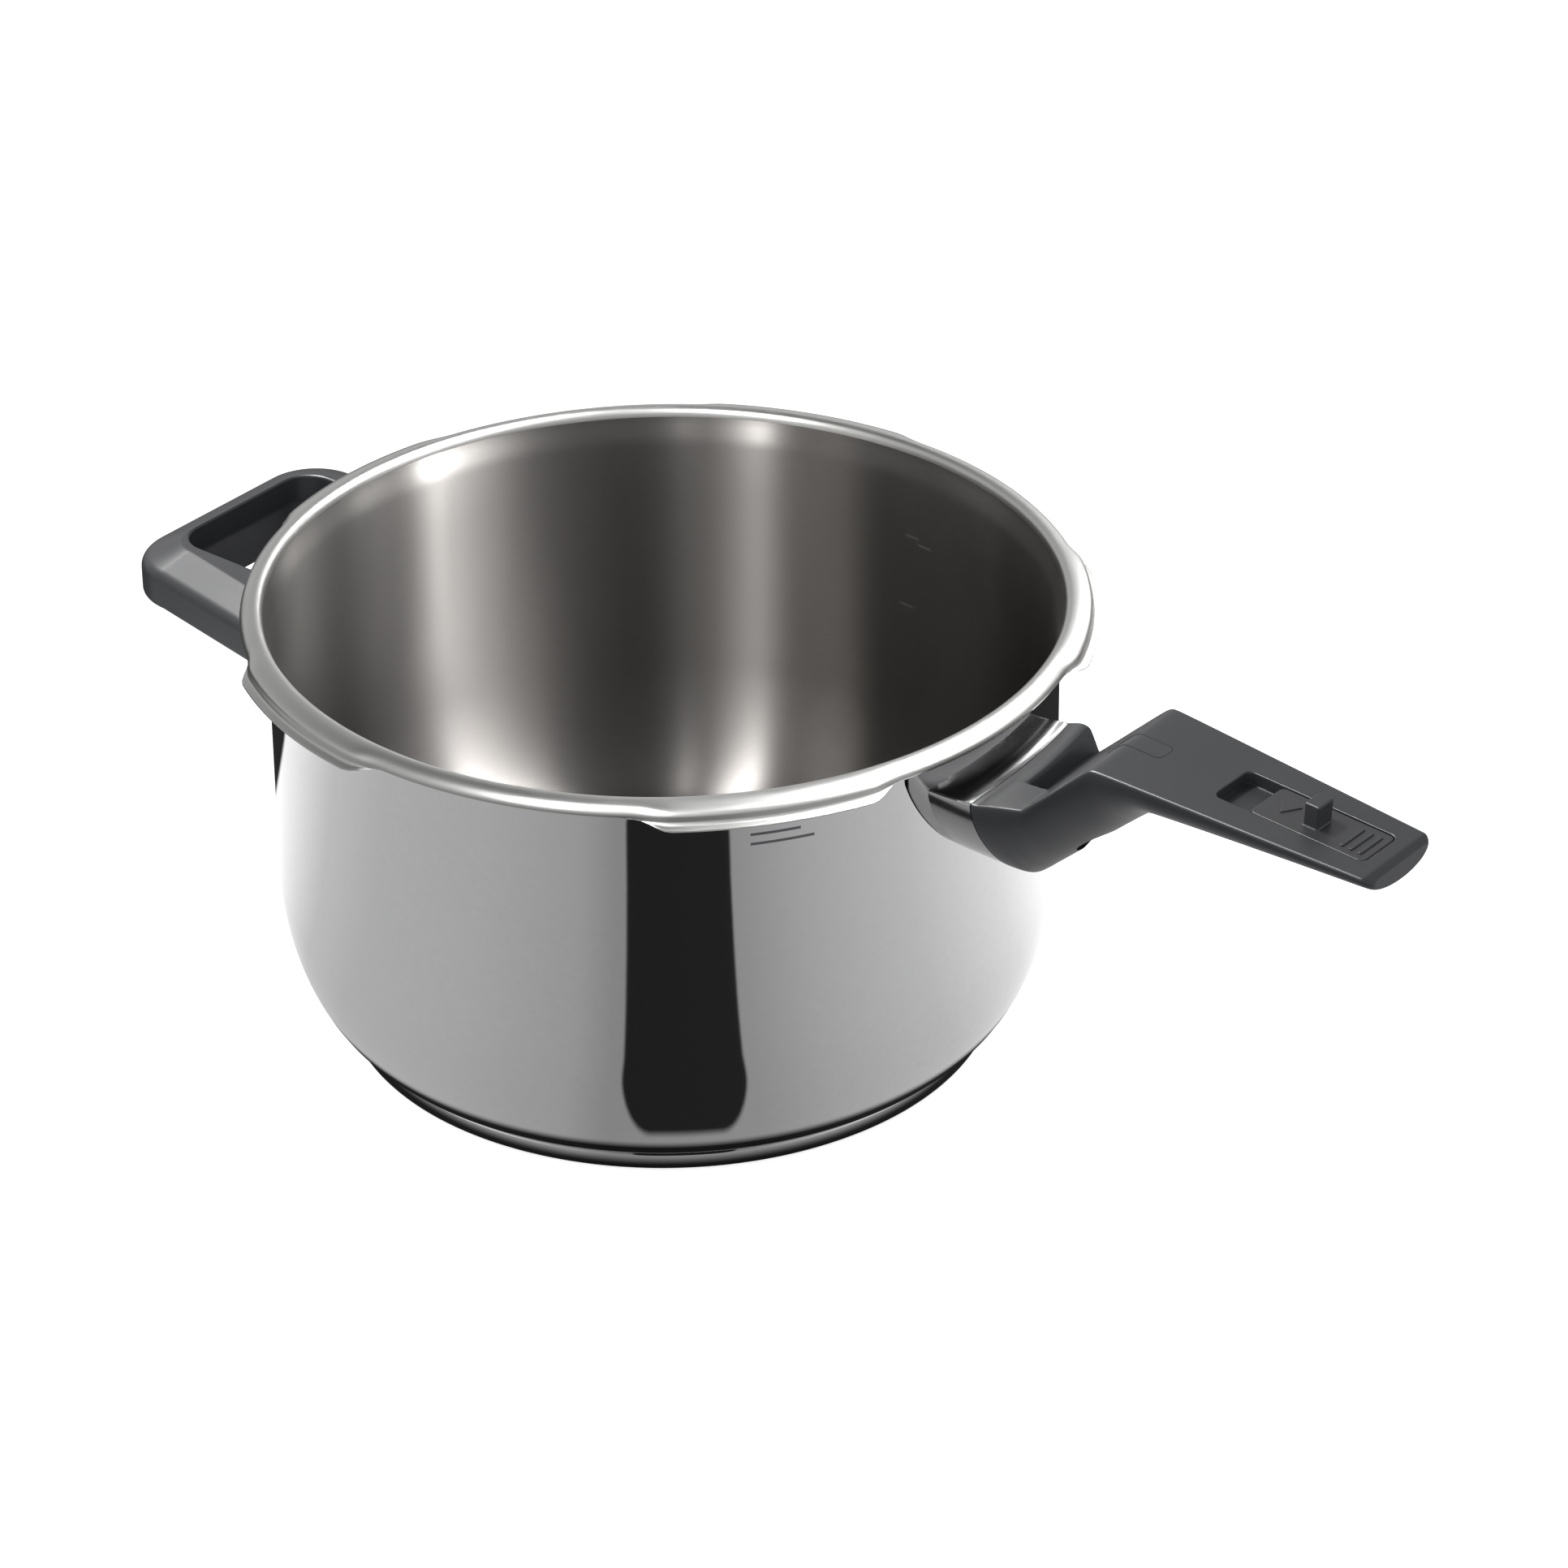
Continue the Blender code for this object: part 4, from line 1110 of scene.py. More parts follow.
@dataclass
class LongHandle:
    """The moulded long handle with its inlay, its lock slide and their fixings."""

    form: HandleForm
    recess_u: tuple[float, float] = (0.0320, 0.0793)
    recess_half: float = 0.0080
    recess_depth: float = 0.0037
    slide_u: tuple[float, float] = (0.0432, 0.0790)
    slide_half: float = 0.0077
    travel: float = 0.008
    stud_u: tuple[float, float] = (0.0571, 0.0618)
    stud_half: float = 0.0034
    stud_height: float = 0.0065
    stem_u: tuple[float, float] = (0.0520, 0.0580)
    stem_half: float = 0.0030
    floor_v: float = -0.0046
    cavity_u: tuple[float, float] = (0.0315, 0.0595)
    cavity_half: float = 0.0052
    cavity_v: float = -0.0070
    cover_u: tuple[float, float] = (0.0240, 0.0605)
    cover_half: float = 0.0060
    screw_u: float = 0.0275
    inlay_x: tuple[float, float] = (0.1560, 0.1730)
    inlay_half: float = 0.0034
    bolt_z: float = 0.1075

    def stations(self) -> list[float]:
        """Where sections are cut, closer together where the form changes quickly.

        Returns:
            The places along the handle.
        """
        form = self.form
        places = [form.boundary + GAP]
        for start, stop, step in (
            (0.1276, 0.1440, 0.00022),
            (0.1440, 0.1550, 0.0010),
            (0.1550, 0.1660, 0.0003),
            (0.1660, form.end - form.end_corner, 0.0030),
        ):
            count = round((stop - start) / step)
            places += [start + (stop - start) * i / count for i in range(count)]
        for into in (0.0, 0.2, 0.4, 0.55, 0.7, 0.8, 0.88, 0.94, 0.98, 1.0):
            places.append(form.end - form.end_corner * (1 - into))
        return places

    def body(self) -> bmesh.types.BMesh:
        """The moulding's outer skin, closed at both ends.

        Returns:
            The closed skin.
        """
        form = self.form
        stations = self.stations()
        return skin([form.section(stations[0], 0.0018)] + [form.section(x) for x in stations])

    def plate(self, u: tuple[float, float], half: float, radius: float, inset: float) -> list[Point2]:
        """A round-cornered plan in the grip's frame.

        Args:
            u: Its ends along the grip.
            half: Its half width.
            radius: Radius of its corners.
            inset: How far it is drawn in.

        Returns:
            The plan's points.
        """
        centre = ((u[0] + u[1]) / 2, 0.0)
        sides = ((u[1] - u[0]) / 2 - inset, half - inset)
        return round_rectangle(centre, sides, max(radius - inset, 0.0002))

    def pocket(
        self, u: tuple[float, float], half: float, radius: float, low: float, lip: float
    ) -> bmesh.types.BMesh:
        """A cutter for a pocket in the grip's top.

        Args:
            u: Its ends along the grip.
            half: Its half width.
            radius: Radius of its corners.
            low: Its floor, in the grip's frame.
            lip: Radius of its rounded mouth.

        Returns:
            The closed cutter.
        """
        levels = [(0.0005, low), (0.00015, low + 0.00015), (0.0, low + 0.0005), (0.0, -lip)]
        levels += [(-lip * (1 - math.cos(a)), -lip * (1 - math.sin(a))) for a in (0.5, 0.9, 1.2, 1.4)]
        levels += [(-lip, 0.0004), (-lip, 0.004)]
        rings = []
        for inset, v in levels:
            rings.append([Vector((x, y, v)) for x, y in self.plate(u, half, radius, inset)])
        bm = skin(rings)
        bm.transform(self.form.grip_matrix())
        return bm

    def block(
        self, u: tuple[float, float], half: float, v: tuple[float, float], radius: float = 0.0004
    ) -> bmesh.types.BMesh:
        """A plain cutter in the grip's frame.

        Args:
            u: Its ends along the grip.
            half: Its half width.
            v: Its underside and its top.
            radius: Radius of its corners.

        Returns:
            The closed cutter.
        """
        rings = [[Vector((x, y, level)) for x, y in self.plate(u, half, radius, 0.0)] for level in v]
        bm = skin(rings)
        bm.transform(self.form.grip_matrix())
        return bm

    def pin(
        self, radius: float, low: float, high: float, matrix: Matrix, steps: int = 32
    ) -> bmesh.types.BMesh:
        """A round cutter along the matrix's Z.

        Args:
            radius: Its radius.
            low: Its lower end.
            high: Its upper end.
            matrix: Where it goes.
            steps: Number of steps round it.

        Returns:
            The closed cutter.
        """
        return turned([(0.0, low), (radius, low), (radius, high), (0.0, high)], steps, matrix)

    def bolt_axis(self) -> Matrix:
        """Turns +Z to the bolt's direction, +X."""
        return Matrix.Translation((0, 0, self.bolt_z)) @ Matrix.Rotation(math.pi / 2, 4, "Y")

    def screw_axis(self, u: float) -> Matrix:
        """The axis of a screw that stands on the grip's frame at u."""
        return self.form.grip_matrix() @ Matrix.Translation((u, 0, 0))

    def inlay_band(self, grow: float, low: float, high: float) -> bmesh.types.BMesh:
        """A round-ended band along the top line over the shoulder.

        Args:
            grow: How much wider than the inlay it is.
            low: Its underside, below the top line.
            high: Its upper side, above the top line.

        Returns:
            The closed band.
        """
        form = self.form
        start, end = self.inlay_x[0] - grow, self.inlay_x[1] + grow
        half = self.inlay_half + grow
        columns = 26

        reach = half * 0.55

        def width(x: float) -> float:
            """Half width at x, drawn in round the outer end."""
            into = max(x - (end - reach), 0.0)
            return half * math.sqrt(max(1 - (into / reach) ** 2 * 0.75, 0.0))

        rings = []
        for i in range(columns + 1):
            x = start + (end - start) * i / columns
            side = width(x)
            plan = [(side, low)] + [(side * share, high) for share in (1.0, 0.5, 0.0, -0.5, -1.0)]
            plan += [(-side, low), (0.0, low)]
            rings.append([Vector((x, y, form.middle_top(x) + z)) for y, z in plan])
        return skin(rings)

    def build_body(self, finishes: Finishes) -> None:
        """Builds and dresses the moulding with all its pockets and holes.

        Args:
            finishes: The finishes to use.
        """
        piece = finished(self.body(), "handle_body", [finishes.phenolic])
        cuts = [
            self.pocket(self.recess_u, self.recess_half, 0.0022, -self.recess_depth, 0.00035),
            self.inlay_band(0.00012, -0.0013, 0.003),
            self.block((self.stem_u[0] - self.travel - 0.0006, self.stem_u[1] + GAP), self.stem_half + GAP,
                       (self.cavity_v - 0.001, 0.001), 0.0008),
            self.block(self.cavity_u, self.cavity_half, (self.cavity_v - 0.001, self.floor_v)),
            self.block((self.cover_u[0] - GAP, self.cover_u[1] + GAP), self.cover_half + GAP,
                       (-0.030, self.cavity_v)),
            self.pin(0.0052, 0.1340, 0.1900, self.bolt_axis(), 48),
            self.pin(0.0014, self.cavity_v - 0.001, -0.0030, self.screw_axis(self.screw_u)),
        ]
        carve(piece, cuts)
        even_shading(piece)
        stand_for(piece, Body.PAN, Slot.PHENOLIC, "long_handle")

    def build_inlay(self, finishes: Finishes) -> None:
        """Builds and dresses the inlay on the shoulder."""
        piece = finished(self.inlay_band(0.0, -0.0010, 0.00002), "shoulder_inlay", [finishes.slide])
        stand_for(piece, Body.PAN, Slot.PHENOLIC, "index_inlay")

    def build_slide(self, finishes: Finishes) -> None:
        """Builds and dresses the thumb slide: plate, stud, arrow, grip ribs and stem.

        Args:
            finishes: The finishes to use.
        """
        top = -0.0002
        foot = -self.recess_depth + GAP
        bm = pad(lambda inset: self.plate(self.slide_u, self.slide_half, 0.0018, inset), foot, top, 0.0003)
        piece = finished(bm, "thumb_slide", [finishes.slide])
        parts = [
            pad(lambda inset: self.plate(self.stud_u, self.stud_half, 0.0006, inset), top - 0.0001,
                self.stud_height, 0.0005, 0.0007),
            pad(lambda inset: self.plate(self.stem_u, self.stem_half, 0.0006, inset), self.floor_v,
                foot + 0.0006, 0.0001),
        ]
        for u in (0.0700, 0.0728, 0.0756):
            parts.append(pad(lambda inset, u=u: self.plate((u, u + 0.0011), 0.0052, 0.0004, inset),
                             top - 0.0005, top + 0.0004, 0.0002))
        parts.append(pad(self.arrow, top - 0.0005, top + 0.0003, 0.00015))
        carve(piece, parts, join=True)
        piece.data.transform(self.form.grip_matrix())
        carve(piece, [self.pin(0.0011, -0.010, -0.0018, self.screw_axis(sum(self.stem_u) / 2))])
        even_shading(piece)
        stand_for(piece, Body.LOCK, Slot.SLIDE, "lock_slide")

    def arrow(self, inset: float) -> list[Point2]:
        """The plan of the raised arrow.

        Args:
            inset: How far it is drawn in.

        Returns:
            The plan's points.
        """
        corners = ((0.0530, 0.0026), (0.0465, 0.0026), (0.0498, -0.0030))
        middle = (sum(x for x, _ in corners) / 3, sum(y for _, y in corners) / 3)
        share = 1 - inset / 0.0017
        points = []
        for x, y in corners:
            points.append((middle[0] + (x - middle[0]) * share, middle[1] + (y - middle[1]) * share))
        return points

    def build_spring(self, finishes: Finishes) -> None:
        """Builds the return spring.

        Args:
            finishes: The finishes to use.
        """
        wire, radius, turns = 0.00016, 0.00074, 9
        start = self.cavity_u[0] + GAP + wire
        length = 0.0510 - 0.0006 - wire - start
        bm = bmesh.new()
        made = bmesh.ops.create_circle(bm, segments=8, radius=wire, cap_ends=True)
        turn = Matrix.Rotation(math.pi / 2, 4, "X")
        bmesh.ops.transform(bm, matrix=Matrix.Translation((radius, 0, 0)) @ turn, verts=made["verts"])
        bmesh.ops.spin(
            bm,
            geom=bm.faces[:],
            cent=(0, 0, 0),
            axis=(0, 0, 1),
            dvec=(0, 0, length / (turns * 16)),
            angle=2 * math.pi * turns,
            steps=turns * 16,
            use_merge=False,
        )
        bmesh.ops.recalc_face_normals(bm, faces=bm.faces[:])
        height = (self.floor_v + self.cavity_v) / 2
        lay = Matrix.Translation((start, 0, height)) @ Matrix.Rotation(math.pi / 2, 4, "Y")
        bm.transform(self.form.grip_matrix() @ lay)
        piece = finished(bm, "return_spring", [finishes.spring])
        stand_for(piece, Body.PAN, Slot.SPRING, "slide_spring")
        frame = self.form.grip_matrix()
        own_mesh(piece)

    def build(self, finishes: Finishes, nodes: dict[str, bpy.types.Object]) -> None:
        """Builds every part of the handle and dresses the fixings.

        Args:
            finishes: The finishes to use.
            nodes: The frame's nodes by name.
        """
        self.build_body(finishes)
        self.build_inlay(finishes)
        self.build_slide(finishes)
        self.build_spring(finishes)
        dress(nodes["underside_cover"], finishes.phenolic)
        dress(nodes["lock_washer"], finishes.spring)
        plated = ["long_bracket", "handle_washer", "handle_bolt"]
        plated += ["cover_screw", "slide_keeper", "keeper_screw"]
        for name in plated:
            dress(nodes[name], finishes.zinc)


# ---------------------------------------------------------------- the side handle


@dataclass
class SideHandle:
    """The moulded loop opposite the long handle, with its bracket and fixings."""

    top: float = 0.1055
    edge_z: float = 0.1006
    slope_width: float = 0.0105
    bottom: float = 0.0892
    edge: float = 0.0024
    outer: float = 0.1742
    inner: float = 0.0900
    root_half: float = 0.0536
    tip_half: float = 0.0413
    corner: float = 0.0170
    face: float = 0.1126
    opening_x: tuple[float, float] = (0.1245, 0.1630)
    opening_foot: float = 0.1570
    opening_half: float = 0.0275
    opening_corner: float = 0.0090
    step_z: float = 0.0970
    screw_x: float = 0.1172
    tab_centre: tuple[float, float, float] = (-0.1111, 0.0, 0.0998)
    tab_size: tuple[float, float, float] = (0.0220, 0.0146, 0.0053)

    def outline(self, shrink: float, steps: int = 18) -> list[Point2]:
        """The loop's plan.

        Args:
            shrink: How far it is drawn in.
            steps: Number of steps in each outer corner.

        Returns:
            The plan's points.
        """
        tip = self.tip_half - shrink
        outer = self.outer - shrink
        corner = self.corner - 0.7 * shrink
        points = [(-self.inner, self.root_half - shrink)]
        for i in range(12):
            share = i / 12
            x = self.inner + (outer - corner - self.inner) * share
            y = self.root_half - shrink + (tip - self.root_half + shrink) * share
            if i:
                points.append((-x, y))
        for i in range(steps + 1):
            angle = math.pi / 2 * i / steps
            x = outer - corner + corner * math.sin(angle)
            points.append((-x, tip - corner + corner * math.cos(angle)))
        return points + [(x, -y) for x, y in reversed(points)]

    def levels(self) -> list[Point2]:
        """The loop's section, from its underside to its top.

        Returns:
            Pairs of shrink and height.
        """
        edge = self.edge
        points = [(edge - edge * math.sin(a), self.bottom + edge - edge * math.cos(a))
                  for a in (0.0, 0.3, 0.6, 0.9, 1.2, 1.5)]
        points.append((0.0, self.edge_z - 2.2 * edge))
        slope = math.atan2(self.top - self.edge_z, self.slope_width)
        radius = 0.0042
        for i in range(9):
            angle = (math.pi / 2 - slope) * i / 8
            points.append((radius * (1 - math.cos(angle)), self.edge_z - 0.0026 + radius * math.sin(angle)))
        start = points[-1]
        for share in (0.35, 0.7):
            points.append((start[0] + (self.slope_width - start[0]) * share,
                           start[1] + (self.top - start[1]) * share))
        points.append((self.slope_width - 0.0004, self.top - 0.0002))
        points.append((self.slope_width + 0.0004, self.top))
        return points

    def opening(self) -> bmesh.types.BMesh:
        """The cutter for the finger opening, straight above and flared towards its foot.

        Returns:
            The closed cutter.
        """
        lip = 0.0008
        levels = [
            (self.opening_foot - 0.0022, self.bottom - 0.0020, 0.0),
            (self.opening_foot, self.bottom + 0.0008, 0.0),
            (self.opening_x[1] - 0.0014, self.step_z - 0.0014, 0.0),
            (self.opening_x[1] - 0.0003, self.step_z - 0.0001, 0.0),
            (self.opening_x[1], self.step_z + 0.0010, 0.0),
            (self.opening_x[1], self.top - lip, 0.0),
        ]
        for angle in (0.4, 0.8, 1.2, 1.45):
            height = self.top - lip * (1 - math.sin(angle))
            levels.append((self.opening_x[1], height, lip * (1 - math.cos(angle))))
        levels.append((self.opening_x[1], self.top + 0.0020, lip))
        rings = []
        for outer, z, grow in levels:
            centre = (-(outer + self.opening_x[0]) / 2, 0.0)
            sides = ((outer - self.opening_x[0]) / 2 + grow, self.opening_half + grow)
            plan = round_rectangle(centre, sides, self.opening_corner + grow, 10)
            rings.append([Vector((x, y, z)) for x, y in plan])
        return skin(rings)

    def build(self, finishes: Finishes, nodes: dict[str, bpy.types.Object]) -> None:
        """Builds the loop and dresses its bracket and fixings.

        Args:
            finishes: The finishes to use.
            nodes: The frame's nodes by name.
        """
        rings = [[Vector((x, y, z)) for x, y in self.outline(shrink)] for shrink, z in self.levels()]
        piece = finished(skin(rings), "side_loop", [finishes.phenolic])
        axis = Matrix.Translation((-self.screw_x, 0, 0))
        tab = bmesh.new()
        bmesh.ops.create_cube(tab, size=1.0)
        tab.transform(Matrix.Translation(self.tab_centre) @ Matrix.Diagonal((*self.tab_size, 1)))
        wall = turned([(0.0, 0.080), (self.face, 0.080), (self.face, 0.115), (0.0, 0.115)], 240)
        seat = turned([(0.0, 0.085), (0.0042, 0.085), (0.0042, 0.0949), (0.0, 0.0949)], 32, axis)
        hole = turned([(0.0, 0.085), (0.0023, 0.085), (0.0023, 0.0985), (0.0, 0.0985)], 32, axis)
        carve(piece, [wall, self.opening(), tab, seat, hole])
        even_shading(piece)
        stand_for(piece, Body.PAN, Slot.PHENOLIC, "side_handle")
        for name in ("side_bracket", "side_washer", "side_screw", "side_nut"):
            dress(nodes[name], finishes.zinc)


# ---------------------------------------------------------------- fitting pieces to the frame


def stand_for(piece: bpy.types.Object, body: Body, slot: Slot, *nodes: str) -> None:
    """Puts a piece on its body in place of the frame's nodes.

    Args:
        piece: The piece.
        body: The body that it moves with.
        slot: The material slot that its finish belongs to. Not used.
        nodes: Names of the nodes that it stands for.
    """
    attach(piece, body.value)
    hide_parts(*nodes)
    LOG.info("made %s for %s", piece.name, ", ".join(nodes))


def dress(node: bpy.types.Object, finish: bpy.types.Material) -> None:
    """Gives a node of the frame a new finish.

    Args:
        node: The node's object.
        finish: The finish.
    """
    node.data.materials.clear()
    node.data.materials.append(finish)
    LOG.info("dressed %s", node.name)


# ---------------------------------------------------------------- studio


@dataclass
class Studio:
    """Floor, soft light, reflectors and camera."""

    camera_distance: float = 1.532
    camera_height: float = 0.966
    front: float = math.radians(-49.5)
    camera_lens: float = 143.76
    camera_turn: float = math.radians(129.26)
    camera_pitch: float = math.radians(30.36)
    camera_roll: float = math.radians(-0.42)
    streak_away: float = 0.95
    streak_height: float = 0.95
    streak_length: float = 1.1

    def glow(self, name: str) -> tuple[bpy.types.Material, NodeSheet, bpy.types.Node]:
        """A material that only shines.

        Args:
            name: Its name.

        Returns:
            The material, its sheet and its emission node.
        """
        material = bpy.data.materials.new(name)
        material.use_nodes = True
        sheet = NodeSheet(material.node_tree)
        for node in list(material.node_tree.nodes):
            material.node_tree.nodes.remove(node)
        emission = sheet.node("ShaderNodeEmission")
        output = sheet.node("ShaderNodeOutputMaterial")
        sheet.join(emission.outputs[0], output.inputs[0])
        return material, sheet, emission

    def floor(self) -> None:
        """A wide pale floor, which polished pieces don't mirror."""
        bm = bmesh.new()
        bmesh.ops.create_circle(bm, cap_ends=True, segments=96, radius=8.0)
        material = bpy.data.materials.new("pale_floor")
        material.use_nodes = True
        shader = material.node_tree.nodes["Principled BSDF"]
        shader.inputs["Base Color"].default_value = (0.93, 0.93, 0.93, 1)
        shader.inputs["Roughness"].default_value = 0.9
        shader.inputs["Specular IOR Level"].default_value = 0.0
        shader.inputs["Emission Color"].default_value = (1, 1, 1, 1)
        shader.inputs["Emission Strength"].default_value = 0.72
        floor = finished(bm, "studio_floor", [material])
        floor.visible_glossy = False
        floor.visible_diffuse = False
        floor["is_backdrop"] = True

    def mirror_floor(self) -> None:
        """The ground that polished pieces mirror: pale, with a dark run in front and a dark rear."""
        bm = bmesh.new()
        bmesh.ops.create_circle(bm, cap_ends=True, segments=96, radius=3.0)
        material, sheet, emission = self.glow("ground_reflector")
        parts = sheet.node("ShaderNodeSeparateXYZ")
        sheet.join(sheet.node("ShaderNodeTexCoord").outputs["Object"], parts.inputs[0])
        x, y, _ = parts.outputs
        radius = sheet.length(x, y)
        cosine, sine = math.cos(self.front), math.sin(self.front)
        ahead = sheet.math("ADD", sheet.math("MULTIPLY", x, cosine), sheet.math("MULTIPLY", y, sine))
        side = sheet.math("SUBTRACT", sheet.math("MULTIPLY", y, cosine), sheet.math("MULTIPLY", x, sine))
        angle = sheet.math("ARCTAN2", side, ahead)
        ramp = sheet.node("ShaderNodeValToRGB")
        sheet.join(sheet.math("ADD", sheet.math("DIVIDE", angle, 2 * math.pi), 0.5), ramp.inputs[0])
        self.fill_ramp(ramp, self.ground_tones())
        strip = self.front_strip(sheet, angle, radius)
        shade = sheet.math("MULTIPLY", ramp.outputs[0], strip)
        shade = sheet.math("MULTIPLY", shade, self.rear(sheet, ahead, side))
        # Painted shade: the mirrored ground goes dark close round the base, where the pan would shade it.
        ring = sheet.eased(radius, 0.0965, 0.1030, 0.03, 1.0)
        sheet.join(sheet.math("MULTIPLY", shade, ring), emission.inputs["Strength"])
        card = finished(bm, "ground_reflector", [material])
        card.data.transform(Matrix.Translation((0, 0, -0.0008)))
        self.only_mirrored(card)

    def ground_tones(self) -> list[tuple[float, float]]:
        """How bright the mirrored ground is round the pan.

        Returns:
            Pairs of degrees from the front, with the left below 0, and brightness.
        """
        return [
            (-180.0, 1.20),
            (-127.0, 1.20),
            (-111.0, 0.97),
            (-93.0, 0.63),
            (-74.0, 0.52),
            (-45.0, 0.47),
            (-20.0, 0.38),
            (-12.0, 0.29),
            (16.0, 0.33),
            (31.0, 0.44),
            (58.0, 0.59),
            (70.0, 0.71),
            (85.0, 0.88),
            (100.0, 1.15),
            (117.0, 1.30),
            (180.0, 1.30),
        ]

    def fill_ramp(self, ramp: bpy.types.Node, tones: list[tuple[float, float]]) -> None:
        """Puts the tones on a colour ramp that covers -180 to 180 degrees.

        Args:
            ramp: The ramp.
            tones: Pairs of degrees and brightness.
        """
        elements = ramp.color_ramp.elements
        while len(elements) < len(tones):
            elements.new(0.5)
        for element, (degrees, tone) in zip(elements, tones):
            element.position = degrees / 360 + 0.5
            element.color = (tone * 0.985, tone, tone * 1.005, 1)

    def front_strip(
        self, sheet: NodeSheet, angle: bpy.types.NodeSocket, radius: bpy.types.NodeSocket
    ) -> bpy.types.NodeSocket:
        """A mask that is dark on the run in front of the pan.

        Args:
            sheet: Where its nodes go.
            angle: Direction from the front.
            radius: Distance from the pan's axis.

        Returns:
            The mask, which is 1 elsewhere.
        """
        centre, half, round_share = math.radians(2.3), math.radians(12.0), 0.10
        start, depth = 0.155, 0.048
        away = sheet.math("ABSOLUTE", sheet.math("SUBTRACT", angle, centre))
        over = sheet.math("MAXIMUM", sheet.math("SUBTRACT", away, half - round_share), 0.0)
        over = sheet.math("DIVIDE", over, round_share)
        near = sheet.math("MAXIMUM", sheet.math("SUBTRACT", start, radius), 0.0)
        near = sheet.math("DIVIDE", near, depth)
        return sheet.eased(sheet.length(over, near), 0.92, 1.06, 0.055, 1.0)

    def rear(
        self, sheet: NodeSheet, ahead: bpy.types.NodeSocket, side: bpy.types.NodeSocket
    ) -> bpy.types.NodeSocket:
        """A mask that is dark on the ground behind the pan.

        Args:
            sheet: Where its nodes go.
            ahead: Distance in front of the pan's axis.
            side: Distance to the right of it.

        Returns:
            The mask, which is 1 elsewhere.
        """
        line = sheet.math("ADD", ahead, sheet.math("MULTIPLY", side, -0.09))
        return sheet.eased(line, -0.108, -0.100, 0.02, 1.0)

    def only_mirrored(self, card: bpy.types.Object) -> None:
        """Keeps a card out of sight except in reflections.

        Args:
            card: The card.
        """
        card.visible_camera = False
        card.visible_diffuse = False
        card.visible_shadow = False
        card.visible_transmission = False
        card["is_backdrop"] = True

    def sky(self) -> None:
        """A bright horizon under a dim ceiling."""
        world = bpy.data.worlds.new("studio_air")
        bpy.context.scene.world = world
        world.use_nodes = True
        sheet = NodeSheet(world.node_tree)
        background = world.node_tree.nodes["Background"]
        parts = sheet.node("ShaderNodeSeparateXYZ")
        sheet.join(sheet.node("ShaderNodeTexCoord").outputs["Generated"], parts.inputs[0])
        ramp = sheet.node("ShaderNodeValToRGB")
        sheet.join(sheet.math("ADD", sheet.math("MULTIPLY", parts.outputs[2], 0.5), 0.5), ramp.inputs[0])
        elements = ramp.color_ramp.elements
        tones = [(0.0, 0.16), (0.47, 0.20), (0.50, 0.9), (0.62, 0.85)]
        tones += [(0.80, 0.66), (0.90, 0.20), (1.0, 0.04)]
        while len(elements) < len(tones):
            elements.new(0.5)
        for element, (place, tone) in zip(elements, tones):
            element.position = place
            element.color = (tone, tone, tone * 1.01, 1)
        sheet.join(ramp.outputs[0], background.inputs[0])
        background.inputs[1].default_value = 1.0

    def lamp(
        self,
        name: str,
        place: Vector,
        size: tuple[float, float],
        power: float,
        glossy: bool,
        only: Sequence[bpy.types.Object] = (),
    ) -> bpy.types.Object:
        """An area light that faces the pan.

        Args:
            name: Its name.
            place: Where it hangs.
            size: Its width and height.
            power: Its power in watts.
            glossy: Whether polished pieces mirror it.
            only: The pieces that it lights, or none for all.

        Returns:
            The light.
        """
        data = bpy.data.lights.new(name, "AREA")
        data.shape = "RECTANGLE"
        data.size, data.size_y = size
        data.energy = power
        lamp = bpy.data.objects.new(name, data)
        lamp.location = place
        lamp.rotation_euler = (Vector((0, 0, 0.09)) - place).to_track_quat("-Z", "Y").to_euler()
        lamp.visible_glossy = glossy
        if only:
            lit = bpy.data.collections.new(name + "_lit")
            for piece in only:
                lit.objects.link(piece)
            lamp.light_linking.receiver_collection = lit
        bpy.context.scene.collection.objects.link(lamp)
        return lamp

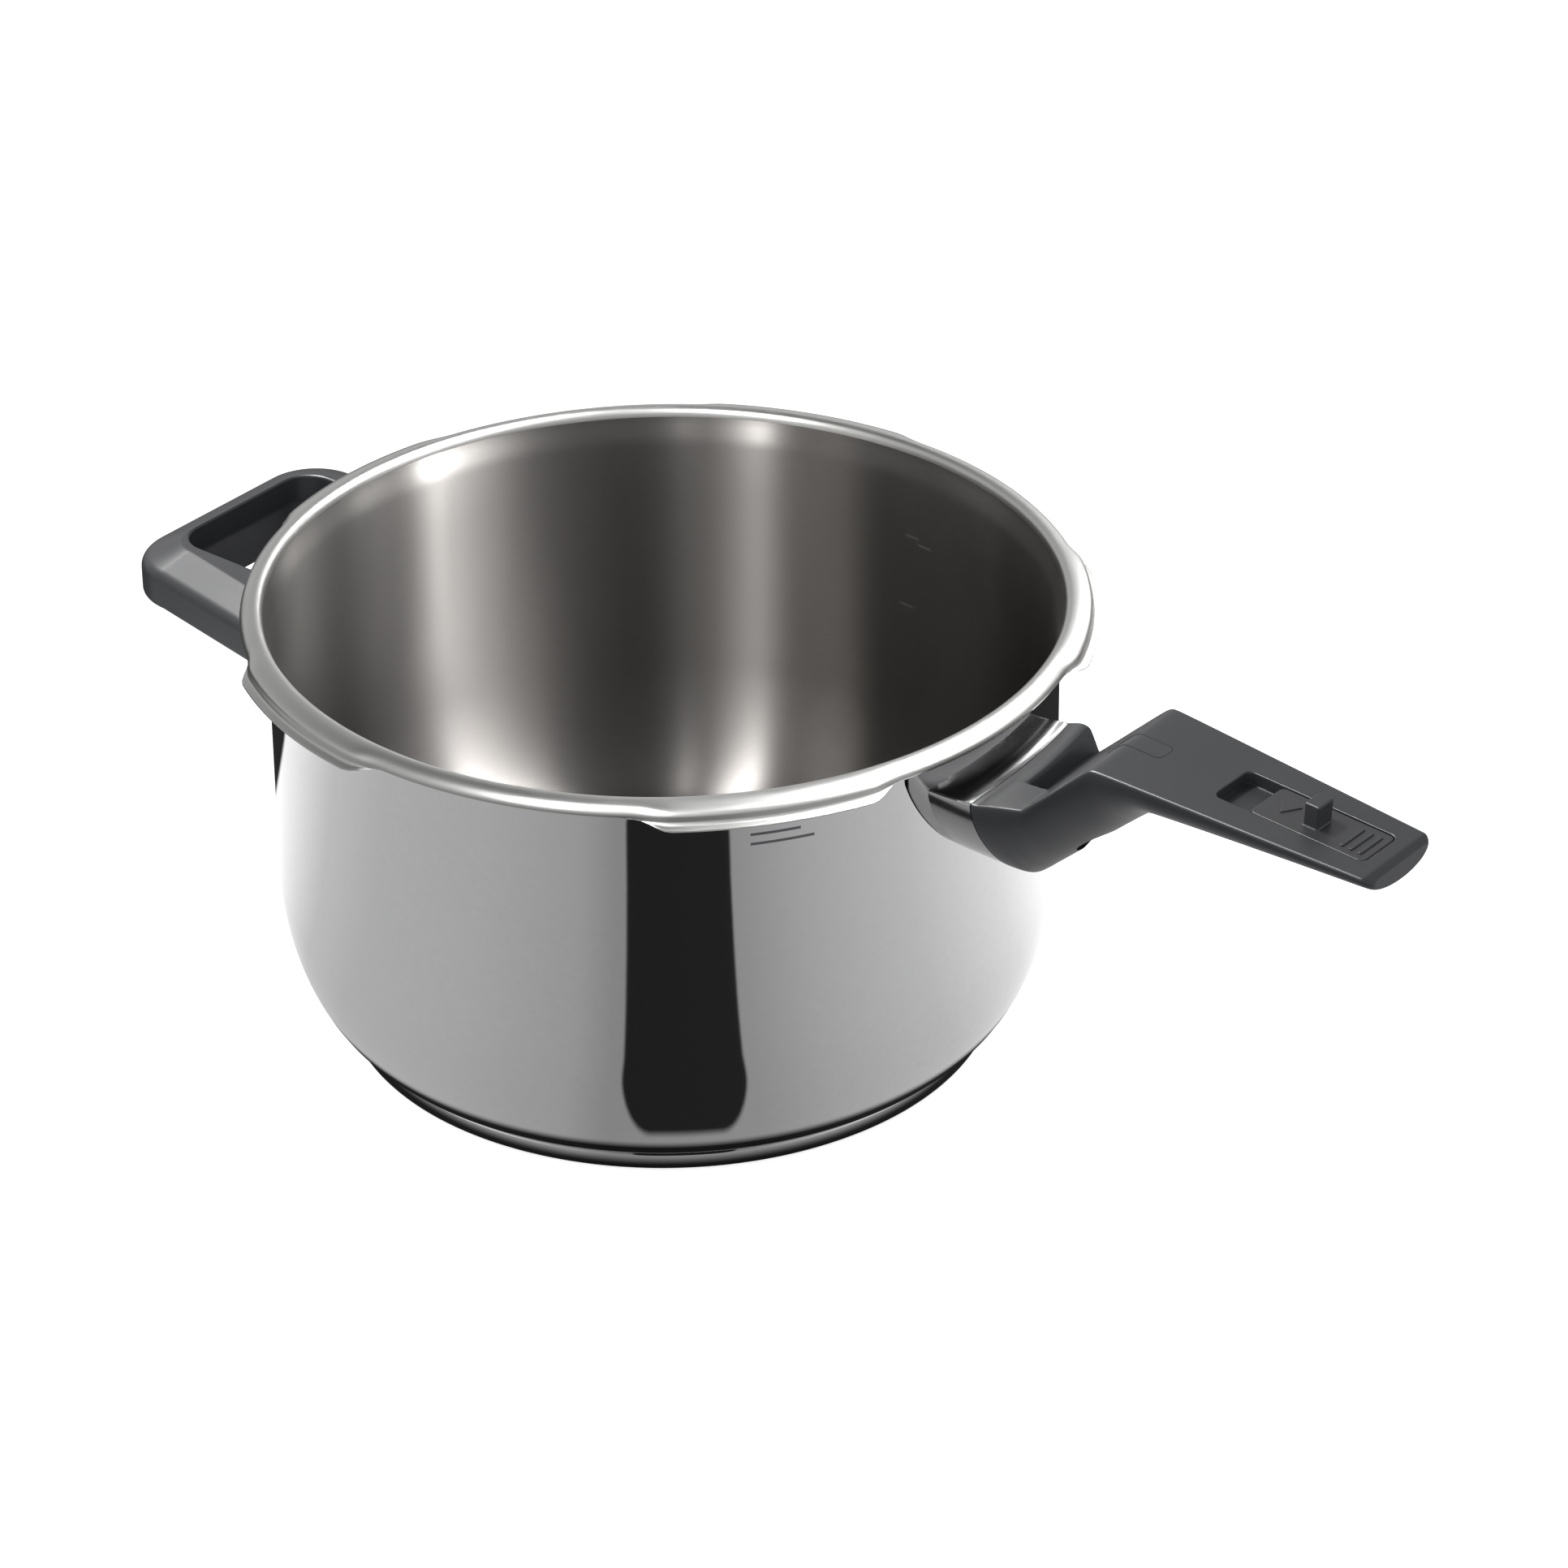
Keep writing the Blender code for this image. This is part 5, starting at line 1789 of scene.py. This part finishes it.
    def camera(self) -> None:
        """The camera, on the long handle's near side."""
        data = bpy.data.cameras.new("camera")
        data.sensor_width = 36.0
        data.lens = self.camera_lens
        data.clip_end = 50.0
        camera = bpy.data.objects.new("camera", data)
        pitch, turn = self.camera_pitch, self.camera_turn
        ahead = Vector((math.cos(turn) * math.cos(pitch), math.sin(turn) * math.cos(pitch), -math.sin(pitch)))
        right = Vector((math.sin(turn), -math.cos(turn), 0))
        above = right.cross(ahead)
        cosine, sine = math.cos(self.camera_roll), math.sin(self.camera_roll)
        right, above = right * cosine + above * sine, above * cosine - right * sine
        rotation = Matrix((right, above, -ahead)).transposed()
        away = self.camera_distance
        place = Vector((away * math.cos(self.front), away * math.sin(self.front), self.camera_height))
        camera.matrix_world = Matrix.Translation(place) @ rotation.to_4x4()
        bpy.context.scene.collection.objects.link(camera)
        bpy.context.scene.camera = camera

    def streak(self, azimuth: float, width: float, power: float, only: Sequence[bpy.types.Object]) -> None:
        """A tall narrow light that draws one upright streak on the ground inside of the pan.

        Args:
            azimuth: Its direction from the pan's axis, in degrees.
            width: Its width.
            power: Its power in watts.
            only: The pieces that it lights.
        """
        turn, away = math.radians(azimuth), self.streak_away
        place = Vector((away * math.cos(turn), away * math.sin(turn), self.streak_height))
        lamp = self.lamp(f"streak_{azimuth:.0f}", place, (width, self.streak_length), power, True, only)
        lamp.visible_diffuse = False

    def build(self, pieces: Sequence[bpy.types.Object]) -> None:
        """Builds the whole studio.

        Args:
            pieces: The moulded pieces, whose edges have a light of their own.
        """
        self.floor()
        self.mirror_floor()
        self.sky()
        self.lamp("key_light", Vector((-0.9, -0.6, 2.0)), (1.4, 1.4), 14.0, False)
        edge = self.lamp("edge_light", Vector((-0.65, -0.08, 1.35)), (0.16, 0.16), 60.0, True, pieces)
        edge.visible_diffuse = False
        body = [bpy.data.objects["pan_body"]]
        for azimuth, width, power in (
            (23.3, 0.11, 62.0),
            (-80.0, 0.055, 17.0),
            (-57.0, 0.05, 2.0),
            (50.0, 0.07, 11.0),
            (88.0, 0.16, 20.0),
        ):
            self.streak(azimuth, width, power, body)
        self.camera()
        scene = bpy.context.scene
        scene.view_settings.view_transform = "Standard"
        scene.view_settings.look = "None"


def corners() -> list[list[float]]:
    """The shown object's box as plain lists."""
    low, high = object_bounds()
    return [[float(value) for value in low], [float(value) for value in high]]


def main() -> None:
    """Builds the pan and its studio on the frame."""
    logging.basicConfig(level=logging.INFO, format="%(name)s: %(message)s")
    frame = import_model()
    nodes = frame["nodes"]
    finishes = Finishes()
    pan = Pan()
    form = HandleForm()
    pan.build(finishes, nodes)
    Guard(form).build(finishes)
    LongHandle(form).build(finishes, nodes)
    SideHandle().build(finishes, nodes)
    names = ("handle_body", "shoulder_inlay", "thumb_slide", "side_loop")
    Studio().build([bpy.data.objects[name] for name in names])


if __name__ == "__main__":
    main()
